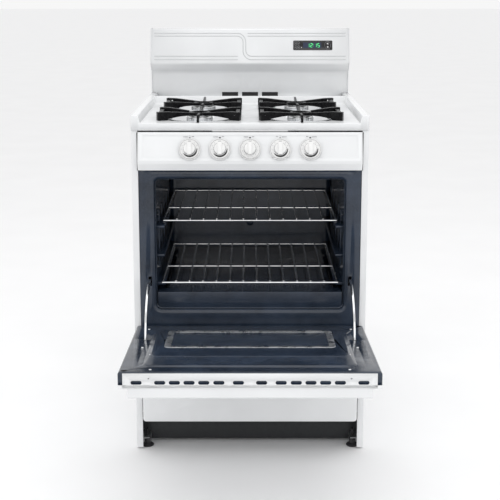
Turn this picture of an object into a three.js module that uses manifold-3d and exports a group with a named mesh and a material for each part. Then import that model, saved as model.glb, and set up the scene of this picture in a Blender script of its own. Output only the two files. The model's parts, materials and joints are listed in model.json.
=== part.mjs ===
// A 24-inch freestanding gas range: four open burners, an oven with a drop-down door, and a storage drawer.
// Millimetres, X to the right, Y towards the back, Z up. The range is drawn with its front frame on the plane
// y = 0 and its feet on z = 0. The door is open and everything else is at rest.
import * as THREE from 'three';
import { mergeVertices } from 'three/addons/utils/BufferGeometryUtils.js';
import Module from 'manifold-3d';

const wasm = await Module();
wasm.setup();

// Overall sizes
const bodyWidth = 610;
const bodyDepth = 655;
const cooktopHeight = 905;
const backguardHeight = 198;

// Stock and clearances
const sheet = 1.2;
const gap = 0.3;
const slideGap = 0.6;
// How far a cutting shape runs past the metal it cuts
const past = 5;

// Feet, base and drawer
const footHeight = 8;
const footRadius = 17;
const legInset = 26;
const railHeight = 28;
const railWidth = 32;
const drawerLedgeHeight = 104;
const drawerFrontBottom = 89;
const drawerFrontDepth = 28;
const behindDrawer = 115;
const drawerBoxDepth = bodyDepth - behindDrawer;
const drawerBoxHeight = 170;

// Side panels and front frame
const sideBottom = 4;
const frontFlange = 16.5;
const frameBevel = 10;
const openingHalfWidth = 247;
const openingBottom = 391;
const openingTop = 740;
const openingRadius = 12;

// Oven
const behindOven = 110;
const ovenDepth = bodyDepth - behindOven;
const rackPlay = 13;
const rackHalfWidth = openingHalfWidth - rackPlay;
const rackShortfall = 100;
const rackDepth = ovenDepth - rackShortfall;
const rackMiddle = 175;
const rackSpans = 13;
const rackWire = 4.6;
const rackRail = 5.2;
const rackSink = 0.8;
const upperRack = { front: 85, height: 620 };
const lowerRack = { front: 20, height: 466 };

// Cooktop and burners
const lipHeight = 38;
const rimWidth = 20;
const ridgeWidth = 12;
const troughDepth = 17;
const basinDepth = 20;
const behindBasin = 155;
const basinBack = bodyDepth - behindBasin;
const burnerX = 134;
const frontBurnerY = 122;
const rearBurnerInset = 126;
const rearBurnerY = basinBack - rearBurnerInset;
const bowlRadius = 97;
const bowlHoleRadius = 88;
const burnerRadius = 34;
const grateHalfWidth = 108;
const grateBarSpread = 62;
const grateReach = 110;
const grateHeight = 22;

// Control panel and knobs
const panelReveal = 17;
const panelHalfWidth = bodyWidth / 2 - panelReveal;
const panelBottom = 766;
const panelBulge = 24;
const panelBend = 792;
const knobZ = 820;
const knobSpacing = 77;
const skirtRadius = 28;
const knobPush = 3;

// Door
const doorReveal = 7;
const doorHalfWidth = bodyWidth / 2 - doorReveal;
const bandInset = 11;
const handleInset = 21;
const doorThickness = 39;
const doorInset = 2;
const doorHingeZ = 333;
const doorHingeY = -20;
const doorTop = 428;
const doorBottom = -14;
const doorOpenAngle = 86.35;
const hingeX = 262;
const hingeArmRadius = 137;
const hingeArmWidth = 5;
const windowMargin = 50;
const windowHalfWidth = openingHalfWidth - windowMargin;
const windowBottom = 93;
const windowTop = 240;
const plugHeight = 8;

// ---------------------------------------------------------------- solids

function toSolid(geometry) {
  geometry.deleteAttribute('normal');
  geometry.deleteAttribute('uv');
  const merged = mergeVertices(geometry, 1e-4);
  return new wasm.Manifold(new wasm.Mesh({
    numProp: 3,
    vertProperties: new Float32Array(merged.attributes.position.array),
    triVerts: new Uint32Array(merged.index.array),
  }));
}

function toGeometry(solid) {
  const mesh = solid.getMesh();
  const geometry = new THREE.BufferGeometry();
  geometry.setAttribute('position', new THREE.BufferAttribute(mesh.vertProperties, 3));
  geometry.setIndex(new THREE.BufferAttribute(mesh.triVerts, 1));
  geometry.computeVertexNormals();
  return geometry;
}

const union = (first, ...rest) => rest.reduce((sum, solid) => sum.add(solid), first);
const cut = (first, ...rest) => rest.reduce((left, solid) => left.subtract(solid), first);

function block(x0, x1, y0, y1, z0, z1) {
  const geometry = new THREE.BoxGeometry(x1 - x0, y1 - y0, z1 - z0);
  geometry.translate((x0 + x1) / 2, (y0 + y1) / 2, (z0 + z1) / 2);
  return toSolid(geometry);
}

function outline(points) {
  return new THREE.Shape(points.map(([u, v]) => new THREE.Vector2(u, v)));
}

function roundedRectangle(x0, x1, y0, y1, radius) {
  const shape = new THREE.Shape();
  shape.moveTo(x0 + radius, y0);
  shape.lineTo(x1 - radius, y0);
  shape.absarc(x1 - radius, y0 + radius, radius, -Math.PI / 2, 0);
  shape.lineTo(x1, y1 - radius);
  shape.absarc(x1 - radius, y1 - radius, radius, 0, Math.PI / 2);
  shape.lineTo(x0 + radius, y1);
  shape.absarc(x0 + radius, y1 - radius, radius, Math.PI / 2, Math.PI);
  shape.lineTo(x0, y0 + radius);
  shape.absarc(x0 + radius, y0 + radius, radius, Math.PI, Math.PI * 1.5);
  return shape;
}

const plainEnds = (depth) => ({ depth, bevelEnabled: false, curveSegments: 3 });

// An outline of (y, z) points drawn out along X.
function alongX(shape, x0, x1, options = plainEnds(x1 - x0)) {
  const geometry = new THREE.ExtrudeGeometry(shape, options);
  const turned = new THREE.Matrix4().makeBasis(
    new THREE.Vector3(0, 1, 0), new THREE.Vector3(0, 0, 1), new THREE.Vector3(1, 0, 0));
  geometry.applyMatrix4(turned);
  geometry.translate(x0, 0, 0);
  return toSolid(geometry);
}

// An outline of (x, z) points drawn out along Y.
function alongY(shape, y0, y1) {
  const geometry = new THREE.ExtrudeGeometry(shape, plainEnds(y1 - y0));
  geometry.rotateX(Math.PI / 2);
  geometry.translate(0, y1, 0);
  return toSolid(geometry);
}

// An outline of (x, y) points drawn out along Z.
function alongZ(shape, z0, z1) {
  const geometry = new THREE.ExtrudeGeometry(shape, plainEnds(z1 - z0));
  geometry.translate(0, 0, z0);
  return toSolid(geometry);
}

// A plate from z0 up to z1 whose sides lean outwards by lean, from shape at the bottom.
function flared(shape, z0, z1, lean) {
  const rise = z1 - z0;
  const geometry = new THREE.ExtrudeGeometry(shape, {
    depth: rise, curveSegments: 3, bevelEnabled: true, bevelSegments: 1, bevelThickness: rise, bevelSize: lean,
  });
  geometry.translate(0, 0, z1);
  const big = 4 * bodyWidth;
  return toSolid(geometry).subtract(block(-big, big, -big, big, z1, z1 + big));
}

// A turned piece about Z from [radius, height] pairs.
function turned(pairs, segments = 24) {
  const points = pairs.map(([r, z]) => new THREE.Vector2(r, z));
  const geometry = new THREE.LatheGeometry(points, segments);
  geometry.rotateX(Math.PI / 2);
  return toSolid(geometry);
}

function rod(from, to, radius, segments = 8) {
  const a = new THREE.Vector3(...from);
  const b = new THREE.Vector3(...to);
  const geometry = new THREE.CylinderGeometry(radius, radius, a.distanceTo(b), segments);
  const along = new THREE.Vector3().subVectors(b, a).normalize();
  geometry.applyQuaternion(new THREE.Quaternion().setFromUnitVectors(new THREE.Vector3(0, 1, 0), along));
  geometry.translate((a.x + b.x) / 2, (a.y + b.y) / 2, (a.z + b.z) / 2);
  return toSolid(geometry);
}

// ---------------------------------------------------------------- materials

const finish = (color, roughness, metalness) => ({ color, roughness, metalness });
const white = finish(0xf4f5f6, 0.25, 0);
const darkEnamel = finish(0x2b3340, 0.25, 0.1);
const black = finish(0x17181a, 0.5, 0);
const chrome = finish(0xd0d3d6, 0.12, 1);
const steel = finish(0xa9adb2, 0.4, 1);
const aluminium = finish(0xc4c6c8, 0.35, 1);
const glass = finish(0x20262b, 0.05, 0);
const brass = finish(0xb08d4f, 0.4, 1);

const range = new THREE.Group();

function place(name, solid, look, parent = range) {
  const mesh = new THREE.Mesh(toGeometry(solid), new THREE.MeshStandardMaterial(look));
  mesh.name = name;
  parent.add(mesh);
  return mesh;
}

const sides = [['left', -1], ['right', 1]];
const halfWidth = bodyWidth / 2;
const cooktopUnder = cooktopHeight - lipHeight;
const backInside = bodyDepth - sheet - gap;

// ---------------------------------------------------------------- body

// A folded side: a front flange, the wide web and a rear flange.
function sidePanel(side) {
  const rearFlange = 14;
  const shape = outline([
    [halfWidth, 0], [halfWidth, backInside], [halfWidth - rearFlange, backInside],
    [halfWidth - rearFlange, backInside - sheet], [halfWidth - sheet, backInside - sheet],
    [halfWidth - sheet, sheet], [halfWidth - frontFlange, sheet], [halfWidth - frontFlange, 0],
  ]);
  const panel = alongZ(shape, sideBottom, cooktopUnder - gap);
  return side > 0 ? panel : panel.mirror([1, 0, 0]);
}

const inletX = 230;
const inletZ = 700;

function backPanel() {
  const plate = block(-halfWidth, halfWidth, bodyDepth - sheet, bodyDepth, railHeight, cooktopUnder - gap);
  const inletHole = rod([inletX, bodyDepth - past, inletZ], [inletX, bodyDepth + past, inletZ], 20, 12);
  const louvres = [];
  const louvreRows = 4;
  const louvrePitch = 16;
  const louvreHalf = 120;
  for (let row = 0; row < louvreRows; row += 1) {
    const z = 780 + row * louvrePitch;
    louvres.push(block(-louvreHalf, louvreHalf, bodyDepth - past, bodyDepth + past, z, z + 5));
  }
  return cut(plate, inletHole, ...louvres);
}

const railOuter = halfWidth - sheet - gap;
const legX = halfWidth - legInset;
const rearLegInset = 30;
const legYs = [legInset, bodyDepth - rearLegInset];
const legHoleRadius = 4.6;

function baseFrame() {
  const start = 6;
  const end = backInside - sheet - gap;
  const rails = sides.map(([, side]) => {
    const inner = railOuter - railWidth;
    const upright = block(railOuter - sheet, railOuter, start, end, railHeight, drawerLedgeHeight);
    const foot = block(inner, railOuter, start, end, railHeight, railHeight + sheet);
    const ledge = block(inner, railOuter, start, end, drawerLedgeHeight - sheet, drawerLedgeHeight);
    const rail = union(upright, foot, ledge);
    return side > 0 ? rail : rail.mirror([1, 0, 0]);
  });
  const reach = railOuter - 5;
  const frontMemberY = 80;
  const crossMembers = [[frontMemberY, 1], [end, -1]].map(([y, way]) => {
    const lip = 24;
    const web = block(-reach, reach, Math.min(y, y + way * sheet), Math.max(y, y + way * sheet),
      railHeight, railHeight + 2 * lip);
    const shelf = block(-reach, reach, Math.min(y, y + way * lip), Math.max(y, y + way * lip),
      railHeight, railHeight + sheet);
    return union(web, shelf);
  });
  const holes = [];
  for (const [, side] of sides) {
    for (const y of legYs) {
      const below = [side * legX, y, railHeight - past];
      const above = [side * legX, y, railHeight + past];
      holes.push(rod(below, above, legHoleRadius, 8));
    }
  }
  return cut(union(...rails, ...crossMembers), ...holes);
}

function levellingLeg() {
  const stem = 4;
  const nut = 8;
  const stemTop = railHeight + 22;
  return turned([
    [0, 0], [footRadius, 0], [footRadius, 3], [footRadius - 5, footHeight], [nut, footHeight],
    [nut, railHeight - gap], [stem, railHeight - gap], [stem, stemTop], [0, stemTop],
  ], 8);
}

const toeKickY = 50;
const toeKickBottom = 9;

function toeKick() {
  const inner = railOuter - railWidth - slideGap;
  const outer = railOuter - sheet - gap;
  const low = railHeight + sheet + gap;
  const high = drawerLedgeHeight - sheet - gap;
  const shape = outline([
    [-inner, toeKickBottom], [inner, toeKickBottom], [inner, low], [outer, low], [outer, high],
    [-outer, high], [-outer, low], [-inner, low],
  ]);
  return alongY(shape, toeKickY, toeKickY + sheet);
}

for (const [name, side] of sides) {
  place(`${name}_side_panel`, sidePanel(side), white);
}
place('back_panel', backPanel(), steel);
place('base_frame', baseFrame(), steel);
['front', 'rear'].forEach((end, row) => {
  for (const [name, side] of sides) {
    const leg = place(`levelling_leg_${end}_${name}`, levellingLeg(), black);
    leg.position.set(side * legX, legYs[row], 0);
  }
});
place('toe_kick', toeKick(), black);

// ---------------------------------------------------------------- drawer

const drawerFrontTop = doorHingeZ - 27;
const drawerBoxHalfWidth = halfWidth - frontFlange - 5;

function drawerFront() {
  const half = halfWidth - frontFlange - 4;
  const face = -doorInset - drawerFrontDepth;
  const shell = alongY(roundedRectangle(-half, half, drawerFrontBottom, drawerFrontTop, 6), face, -doorInset);
  const hollow = block(-half + sheet, half - sheet, face + sheet, doorInset,
    drawerFrontBottom + sheet, drawerFrontTop - sheet);
  return cut(shell, hollow);
}

function drawerBox() {
  const low = drawerLedgeHeight + slideGap;
  const front = -doorInset + gap;
  const half = drawerBoxHalfWidth;
  const shell = block(-half, half, front, drawerBoxDepth, low, low + drawerBoxHeight);
  const hollow = block(-half + sheet, half - sheet, front + sheet, drawerBoxDepth - sheet,
    low + sheet, low + drawerBoxHeight + 1);
  return cut(shell, hollow);
}

place('drawer_front', drawerFront(), white);
place('drawer_box', drawerBox(), steel);

// ---------------------------------------------------------------- front frame and oven

// The slots that the curved hinge arms and the hinge brackets pass through.
const armSlotHalf = hingeArmWidth / 2 + 2;
const armRadialHalf = 7.5;
const armSlotHeight = 13;
const armCrossing = doorHingeZ + Math.sqrt(hingeArmRadius ** 2 - doorHingeY ** 2);
const bracketX = hingeX + 9.5;
const bracketWidth = 3;
const bracketHalfHeight = 8;

function hingeSlots(side) {
  const arm = block(hingeX - armSlotHalf, hingeX + armSlotHalf, -past, frameBevel + past,
    armCrossing - armSlotHeight, armCrossing + armSlotHeight);
  const bracket = block(bracketX - bracketWidth / 2 - gap, bracketX + bracketWidth / 2 + gap,
    -past, frameBevel + past, doorHingeZ - bracketHalfHeight - gap, doorHingeZ + bracketHalfHeight + gap);
  const both = union(arm, bracket);
  return side > 0 ? both : both.mirror([1, 0, 0]);
}

const frameHalfWidth = halfWidth - frontFlange - gap;
const frameBottom = drawerFrontTop + 2;
const frameTop = panelBottom + 6;

// The opening as a solid funnel, narrow at the back. It runs past the frame by extra at both ends.
function bevelledOpening(grow, extra) {
  const shape = roundedRectangle(-openingHalfWidth - grow, openingHalfWidth + grow,
    openingBottom - grow, openingTop + grow, openingRadius);
  const depth = frameBevel + extra;
  const funnel = flared(shape, 0, depth, depth).rotate([90, 0, 0]).translate([0, frameBevel, 0]);
  return extra > 0 ? funnel.add(alongY(shape, frameBevel - extra, frameBevel + extra)) : funnel;
}

function ovenFaceFrame() {
  const plate = block(-frameHalfWidth, frameHalfWidth, 0, sheet, frameBottom, frameTop);
  const bevelSkin = bevelledOpening(sheet, 0);
  return cut(union(plate, bevelSkin), bevelledOpening(0, 1), ...sides.map(([, side]) => hingeSlots(side)));
}

const linerSkin = 1.5;
const ovenBurnerZ = openingBottom + 22;
const linerFront = frameBevel + gap;
const guideStart = linerFront + 25;
const bulbX = -openingHalfWidth + 14;
const bulbZ = openingTop - 24;
const guideReach = openingHalfWidth - rackHalfWidth + 9;

// The enamelled box of the oven, open at the front, with pressed rack guides along both side walls.
function ovenLiner() {
  const wide = openingHalfWidth;
  const outer = block(-wide - linerSkin, wide + linerSkin, linerFront, ovenDepth + linerSkin,
    openingBottom - linerSkin, openingTop + linerSkin);
  const inner = block(-wide, wide, linerFront - past, ovenDepth, openingBottom, openingTop);
  const box = cut(outer, inner);
  const guides = [];
  for (const height of [lowerRack.height, (lowerRack.height + upperRack.height) / 2, upperRack.height]) {
    for (const [, side] of sides) {
      const top = height - rackWire - rackRail + rackSink - slideGap;
      const guide = block(wide - guideReach, wide + linerSkin / 2, guideStart, ovenDepth - 20, top - 8, top);
      guides.push(side > 0 ? guide : guide.mirror([1, 0, 0]));
    }
  }
  const bulbHole = rod([bulbX, ovenDepth - past, bulbZ], [bulbX, ovenDepth + past, bulbZ], 5, 8);
  const burnerHole = rod([0, ovenDepth - past, ovenBurnerZ], [0, ovenDepth + past, ovenBurnerZ], 13, 12);
  const flue = block(-70, 70, ovenDepth - 45, ovenDepth - 20, openingTop - past, openingTop + past);
  return cut(union(box, ...guides), bulbHole, burnerHole, flue);
}

const ovenFloorZ = openingBottom + 44;

// A loose floor plate over the oven burner, with turned-down edges and a slot down each side.
function ovenFloor() {
  const half = openingHalfWidth - 4;
  const front = linerFront + 4;
  const back = ovenDepth - 8;
  const top = block(-half, half, front, back, ovenFloorZ - sheet, ovenFloorZ);
  const edges = [
    block(-half, -half + sheet, front, back, openingBottom + gap, ovenFloorZ),
    block(half - sheet, half, front, back, openingBottom + gap, ovenFloorZ),
    block(-half, half, front, front + sheet, openingBottom + gap, ovenFloorZ),
  ];
  const slots = sides.map(([, side]) => {
    const slot = block(half - 26, half - 12, front + 40, back - 40, ovenFloorZ - past, ovenFloorZ + past);
    return side > 0 ? slot : slot.mirror([1, 0, 0]);
  });
  return cut(union(top, ...edges), ...slots);
}

// A straight tube burner under the oven floor, fed from behind, with a capped front end.
function ovenBurner() {
  const front = 60;
  const z = ovenBurnerZ;
  return union(
    rod([0, front, z], [0, bodyDepth - 40, z], 10, 12),
    rod([0, front, z], [0, front + 15, z], 14, 12),
  );
}

function rack(front, height) {
  const back = front + rackDepth;
  const wire = rackWire / 2;
  const rail = rackRail / 2;
  const railZ = height - rackWire - rail + rackSink;
  const edge = rackHalfWidth - rail;
  const pieces = [];
  for (const y of [front, front + rackMiddle, back]) {
    pieces.push(rod([-rackHalfWidth, y, railZ], [rackHalfWidth, y, railZ], rail, 6));
  }
  for (const x of [-edge, edge]) {
    pieces.push(rod([x, front, railZ], [x, back, railZ], rail, 6));
  }
  for (let i = 1; i < rackSpans; i += 1) {
    const x = -edge + (2 * edge * i) / rackSpans;
    pieces.push(rod([x, front - wire, height - wire], [x, back + wire, height - wire], wire, 6));
  }
  return union(...pieces);
}

place('oven_face_frame', ovenFaceFrame(), darkEnamel);
place('oven_liner', ovenLiner(), darkEnamel);
place('oven_floor_panel', ovenFloor(), darkEnamel);
place('oven_burner', ovenBurner(), steel);
place('oven_rack_upper', rack(upperRack.front, upperRack.height), chrome);
place('oven_rack_lower', rack(lowerRack.front, lowerRack.height), chrome);

// ---------------------------------------------------------------- cooktop, burners and grates

const basinFloor = cooktopHeight - basinDepth;
const guardDepth = 23;
const panelBack = bodyDepth - guardDepth;

const burnerPlaces = [];
for (const [row, y] of [['front', frontBurnerY], ['rear', rearBurnerY]]) {
  for (const [name, side] of sides) {
    burnerPlaces.push({ name: `${row}_${name}`, x: side * burnerX, y, side, row });
  }
}

// The sunk parts of the cooktop as a solid, grown outwards and downwards for its underside: the basin, which
// is open at the front, and behind a ridge the trough below the backguard.
function cooktopBasin(grow, drop) {
  const half = halfWidth - rimWidth - 4;
  const wallLean = 6 + grow / 10;
  const top = cooktopHeight + past;
  const front = -bodyDepth;
  const basin = roundedRectangle(-half - grow, half + grow, front, basinBack + grow, 16);
  const troughStart = basinBack + wallLean + ridgeWidth - grow;
  const troughFloor = cooktopHeight - troughDepth - drop;
  const trough = block(-half - grow, half + grow, troughStart, panelBack + past, troughFloor, top);
  return union(flared(basin, basinFloor - drop, top, wallLean), trough);
}

function cooktop() {
  const half = halfWidth + 1;
  const front = -4;
  const back = panelBack - gap;
  const outer = alongZ(roundedRectangle(-half, half, front, back, 14), cooktopUnder, cooktopHeight);
  const inner = alongZ(roundedRectangle(-half + sheet, half - sheet, front + sheet, back - sheet, 13),
    cooktopUnder - past, cooktopHeight - sheet);
  const under = inner.subtract(cooktopBasin(sheet, sheet));
  const holes = burnerPlaces.map(({ x, y }) => (
    rod([x, y, basinFloor - past], [x, y, basinFloor + past], bowlHoleRadius, 20)));
  return cut(outer, cooktopBasin(0, 0), under, ...holes);
}

const neckRadius = 17;
const bowlDepth = 20;

// A pressed chrome bowl hung by its rim in the hole of the cooktop, open in the middle for the burner.
function dripBowl() {
  const rim = basinFloor + gap;
  const middle = neckRadius + 5;
  const wall = bowlHoleRadius - 1;
  return turned([
    [middle, rim - bowlDepth], [wall - 28, rim - bowlDepth], [wall, rim], [bowlRadius, rim],
    [bowlRadius, rim + sheet], [wall - 2, rim + sheet], [wall - 29, rim - bowlDepth + sheet],
    [middle, rim - bowlDepth + sheet], [middle, rim - bowlDepth],
  ], 20);
}

const valveZ = knobZ - 18;
const mixerStart = 34;
const tubeRadius = 11;
const headTop = basinFloor + 1;

// An aluminium head, cast in one with its mixing tube.
function burnerHead(x, y, valveX) {
  const head = turned([
    [0, valveZ - tubeRadius], [neckRadius, valveZ - tubeRadius], [neckRadius, headTop - 12],
    [burnerRadius, headTop - 8], [burnerRadius, headTop], [0, headTop],
  ], 16).translate([x, y, 0]);
  const tube = rod([valveX, mixerStart, valveZ], [x, y, valveZ], tubeRadius, 10);
  const mouth = rod([valveX, mixerStart, valveZ], [valveX, mixerStart + 6, valveZ], tubeRadius + 3, 10);
  const bore = rod([valveX, mixerStart - 1, valveZ], [valveX, mixerStart + 20, valveZ], tubeRadius - 3, 8);
  return cut(union(head, tube, mouth), bore);
}

function burnerCap() {
  const low = headTop + gap;
  return turned([
    [0, low], [burnerRadius + 1, low], [burnerRadius + 1, low + 2], [burnerRadius - 4, low + 4.5],
    [10, low + 6], [0, low + 6],
  ], 16);
}

// A cast grate: two side bars, four wedge arms that thin towards the middle, and one blade from front to back.
// The arm at the back on the outer side stops short and ends in a point.
function grate() {
  const top = grateHeight;
  const footWidth = 14;
  const tipWidth = 6;
  const ringRadius = 28;
  const dip = 6;
  const thin = 10;
  const footLength = 26;
  const wedge = (xEnd, xInner, yEnd, yInner) => {
    const run = Math.hypot(xEnd - xInner, yEnd - yInner);
    const profile = outline([
      [0, 0], [footLength, 0], [footLength + 4, 4], [run * 0.6, top - dip * 0.6 - thin],
      [run, top - dip - thin * 0.6], [run, top - dip], [footLength, top], [0, top],
    ]);
    const plan = outline([[0, -footWidth / 2], [run, -tipWidth / 2], [run, tipWidth / 2], [0, footWidth / 2]]);
    const blade = alongY(profile, -footWidth / 2, footWidth / 2).intersect(alongZ(plan, -past, top + past));
    const heading = (Math.atan2(yInner - yEnd, xInner - xEnd) * 180) / Math.PI;
    return blade.rotate([0, 0, heading]).translate([xEnd, yEnd, 0]);
  };
  const arms = [
    wedge(grateHalfWidth, 12, -grateBarSpread, -24),
    wedge(-grateHalfWidth, -12, -grateBarSpread, -24),
    wedge(grateHalfWidth, 12, grateBarSpread, 24),
    wedge(-grateHalfWidth, -30, grateBarSpread, 34),
  ];
  const blade = alongX(outline([
    [-grateReach, 0], [-grateReach + 10, 0], [-grateReach + 16, 8], [-40, top - dip - 8],
    [40, top - dip - 8], [grateReach - 16, 8], [grateReach - 10, 0], [grateReach, 0],
    [grateReach, top - 2], [42, top - dip], [-42, top - dip], [-grateReach, top - 2],
  ]), -tipWidth / 2, tipWidth / 2);
  const splitBlade = cut(blade, block(-past, past, -ringRadius + 3, ringRadius - 3, 0, top));
  const ringTop = top - dip;
  const ring = turned([
    [ringRadius - 6, ringTop - 8], [ringRadius, ringTop - 8], [ringRadius, ringTop],
    [ringRadius - 6, ringTop], [ringRadius - 6, ringTop - 8],
  ], 16);
  const bars = [-1, 1].map((side) => {
    const x = side * (grateHalfWidth - 6);
    return block(x - 5, x + 5, -grateBarSpread, grateBarSpread, 8, top - 4);
  });
  const body = union(...arms, splitBlade, ...bars, ring);
  const dot = rod([grateHalfWidth - 14, -grateBarSpread - 20, top - 7],
    [grateHalfWidth - 14, -grateBarSpread + 20, top - 7], 2.2, 8);
  return cut(body, dot);
}

place('cooktop', cooktop(), white);
burnerPlaces.forEach(({ name, x, y, side, row }) => {
  const valveX = side * knobSpacing * (row === 'front' ? 2 : 1);
  place(`burner_head_${name}`, burnerHead(x, y, valveX), aluminium);
  place(`burner_cap_${name}`, burnerCap().translate([x, y, 0]), aluminium);
  place(`drip_bowl_${name}`, dripBowl().translate([x, y, 0]), chrome);
  const turn = row === 'front' ? 0 : 180;
  const cast = side < 0 ? grate() : grate().mirror([1, 0, 0]);
  const rest = basinFloor + gap;
  place(`grate_${name}`, cast.rotate([0, 0, turn]).translate([x, y, rest]), black);
});

// ---------------------------------------------------------------- control panel, valves and knobs

const panelTop = cooktopUnder - 4;
const faceTop = -3;
const lean = Math.atan2(panelBulge - 3, panelTop - panelBend);
const leanDegrees = (lean * 180) / Math.PI;
const faceAt = (z) => faceTop - Math.tan(lean) * (panelTop - z);
const knobFace = new THREE.Vector3(0, faceAt(knobZ), knobZ);
const outward = new THREE.Vector3(0, -Math.cos(lean), Math.sin(lean));

const knobXs = [-2, -1, 0, 1, 2].map((step) => step * knobSpacing);

function panelProfile(inset) {
  const nose = 12;
  const shape = new THREE.Shape();
  shape.moveTo(-gap, panelTop - inset);
  shape.lineTo(faceTop + inset, panelTop - inset);
  shape.lineTo(-panelBulge + inset, panelBend);
  shape.quadraticCurveTo(-panelBulge - 2 + inset, panelBottom + inset,
    -panelBulge + nose + inset, panelBottom + inset);
  shape.lineTo(-gap, panelBottom + inset);
  return shape;
}

function controlPanel() {
  const shell = alongX(panelProfile(0), -panelHalfWidth, panelHalfWidth);
  const hollow = alongX(panelProfile(sheet), -panelHalfWidth + sheet, panelHalfWidth - sheet);
  const backOpen = block(-panelHalfWidth + sheet, panelHalfWidth - sheet, faceTop + sheet, 5,
    panelBottom + sheet, panelTop - sheet);
  const holes = knobXs.map((x) => {
    const from = knobFace.clone().addScaledVector(outward, past);
    const to = knobFace.clone().addScaledVector(outward, -past);
    return rod([x, from.y, from.z], [x, to.y, to.z], 8, 12);
  });
  return cut(shell, hollow, backOpen, ...holes);
}

const stemRadius = 4;
const stemLength = 34;
const stemStart = -stemLength + 12;
const stemBore = stemRadius + 0.7;

// Turns a piece drawn along +Z so that it points out of the sloping panel at the place of a knob.
function onPanel(solid, x, out = 0) {
  const at = knobFace.clone().addScaledVector(outward, out);
  return solid.rotate([90 - leanDegrees, 0, 0]).translate([x, at.y, at.z]);
}

function knob(isOven) {
  const low = knobPush + 1;
  const skirtTop = low + 4;
  const gripTop = skirtTop + 15;
  const gripRadius = 15.5;
  const body = turned([
    [0, low], [skirtRadius, low], [skirtRadius, low + 2.5], [skirtRadius - 3, skirtTop],
    [gripRadius + 1, skirtTop], [gripRadius, gripTop], [0, gripTop],
  ], 20);
  const barHalf = isOven ? 5 : 6;
  const bar = block(-barHalf, barHalf, -gripRadius - 1, gripRadius + 1, skirtTop, gripTop + 5);
  const bore = rod([0, 0, low - past], [0, 0, low + 12.5], stemBore, 8);
  return cut(union(body, bar), bore);
}

function valveStem() {
  const collar = 6;
  const collarAt = stemStart + 13;
  return union(
    rod([0, 0, stemStart], [0, 0, knobPush + 12], stemRadius, 8),
    rod([0, 0, collarAt], [0, 0, collarAt + 2], collar, 8),
  );
}

const valveXs = [-2, -1, 1, 2].map((step) => step * knobSpacing);
const housingEnd = stemStart + 9;

// The hole in a valve housing, deep enough for the stem to be pushed in.
function stemHole(x) {
  return onPanel(rod([0, 0, stemStart - knobPush - 1], [0, 0, housingEnd + 1], stemBore, 8), x);
}

// The supply pipe behind the panel, with the four burner valves screwed into it.
const pipeRadius = 9;
const pipeY = 24;
const pipeZ = valveZ - 26;
const valveBodyRadius = 10;

function gasManifold() {
  const pipe = rod([-knobXs[4] - 30, pipeY, pipeZ], [inletX, pipeY, pipeZ], pipeRadius, 8);
  const dropY = bodyDepth - 60;
  const turnBack = rod([inletX, pipeY, pipeZ], [inletX, dropY, pipeZ], pipeRadius, 8);
  const corner = turned([
    [0, -pipeRadius], [pipeRadius, -pipeRadius], [pipeRadius, pipeRadius], [0, pipeRadius],
  ], 8).translate([inletX, pipeY, pipeZ]);
  const drop = rod([inletX, dropY, pipeZ + pipeRadius], [inletX, dropY, inletZ], pipeRadius, 8);
  const inlet = rod([inletX, dropY - pipeRadius, inletZ], [inletX, bodyDepth - 2, inletZ], 12, 12);
  const inletBore = rod([inletX, bodyDepth - 20, inletZ], [inletX, bodyDepth, inletZ], 8, 8);
  const valves = valveXs.map((x) => {
    const housing = onPanel(rod([0, 0, stemStart - 16], [0, 0, housingEnd], valveBodyRadius, 10), x);
    const tap = rod([x, pipeY, pipeZ], [x, pipeY - 8, valveZ], 6, 6);
    const spud = rod([x, pipeY - 8, valveZ], [x, mixerStart - 2, valveZ], 5, 6);
    return union(housing, tap, spud);
  });
  const bores = valveXs.map(stemHole);
  return cut(union(pipe, corner, turnBack, drop, inlet, ...valves), inletBore, ...bores);
}

// The oven thermostat behind the middle knob, with the thin tube that leads to its sensing bulb in the oven.
function ovenThermostat() {
  const body = onPanel(block(-24, 24, -20, 20, stemStart - 24, housingEnd), 0);
  const overOven = openingTop + 22;
  const behind = ovenDepth + 45;
  const route = new THREE.CatmullRomCurve3([
    [-10, 20, 800], [-40, 50, 780], [-110, 120, overOven + 4], [bulbX + 40, 300, overOven],
    [bulbX, 480, overOven], [bulbX, behind - 12, overOven - 6], [bulbX, behind, overOven - 26],
    [bulbX, behind - 10, bulbZ + 2], [bulbX, ovenDepth + 14, bulbZ], [bulbX, ovenDepth - 12, bulbZ],
  ].map((p) => new THREE.Vector3(...p)));
  const wire = new THREE.Shape();
  wire.absarc(0, 0, 1.6, 0, Math.PI * 2);
  const tube = toSolid(new THREE.ExtrudeGeometry(wire, { steps: 20, curveSegments: 3, extrudePath: route }));
  const bulb = rod([bulbX, ovenDepth - 5, bulbZ], [bulbX, ovenDepth - 105, bulbZ], 4, 8);
  return cut(union(body, tube, bulb), stemHole(0));
}

place('control_panel', controlPanel(), white);
place('gas_manifold', gasManifold(), brass);
place('oven_thermostat', ovenThermostat(), steel);
knobXs.forEach((x, i) => {
  place(`valve_stem_${i + 1}`, onPanel(valveStem(), x), steel);
  place(`knob_${i + 1}`, onPanel(knob(i === 2), x), white);
});

// ---------------------------------------------------------------- backguard

const guardTop = cooktopHeight + backguardHeight;
const guardTopThickness = 29;
const guardNoseThickness = 57;
const guardTopY = bodyDepth - guardTopThickness;
const guardNose = { y: bodyDepth - guardNoseThickness, z: guardTop - 107 };
const guardStep = { y: panelBack, z: guardTop - 134 };
const displayHalf = { x: 60, z: 15 };
const displayX = 193;

const guardLean = Math.atan2(guardTopY - guardNose.y, guardTop - guardNose.z);

// Turns a piece drawn facing +Z so that it faces out of the clock's place on the backguard.
function onGuard(solid) {
  const z = guardTop - 52;
  const y = guardNose.y + Math.tan(guardLean) * (z - guardNose.z);
  return solid.rotate([90 - (guardLean * 180) / Math.PI, 0, 0]).translate([displayX, y, z]);
}

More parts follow.
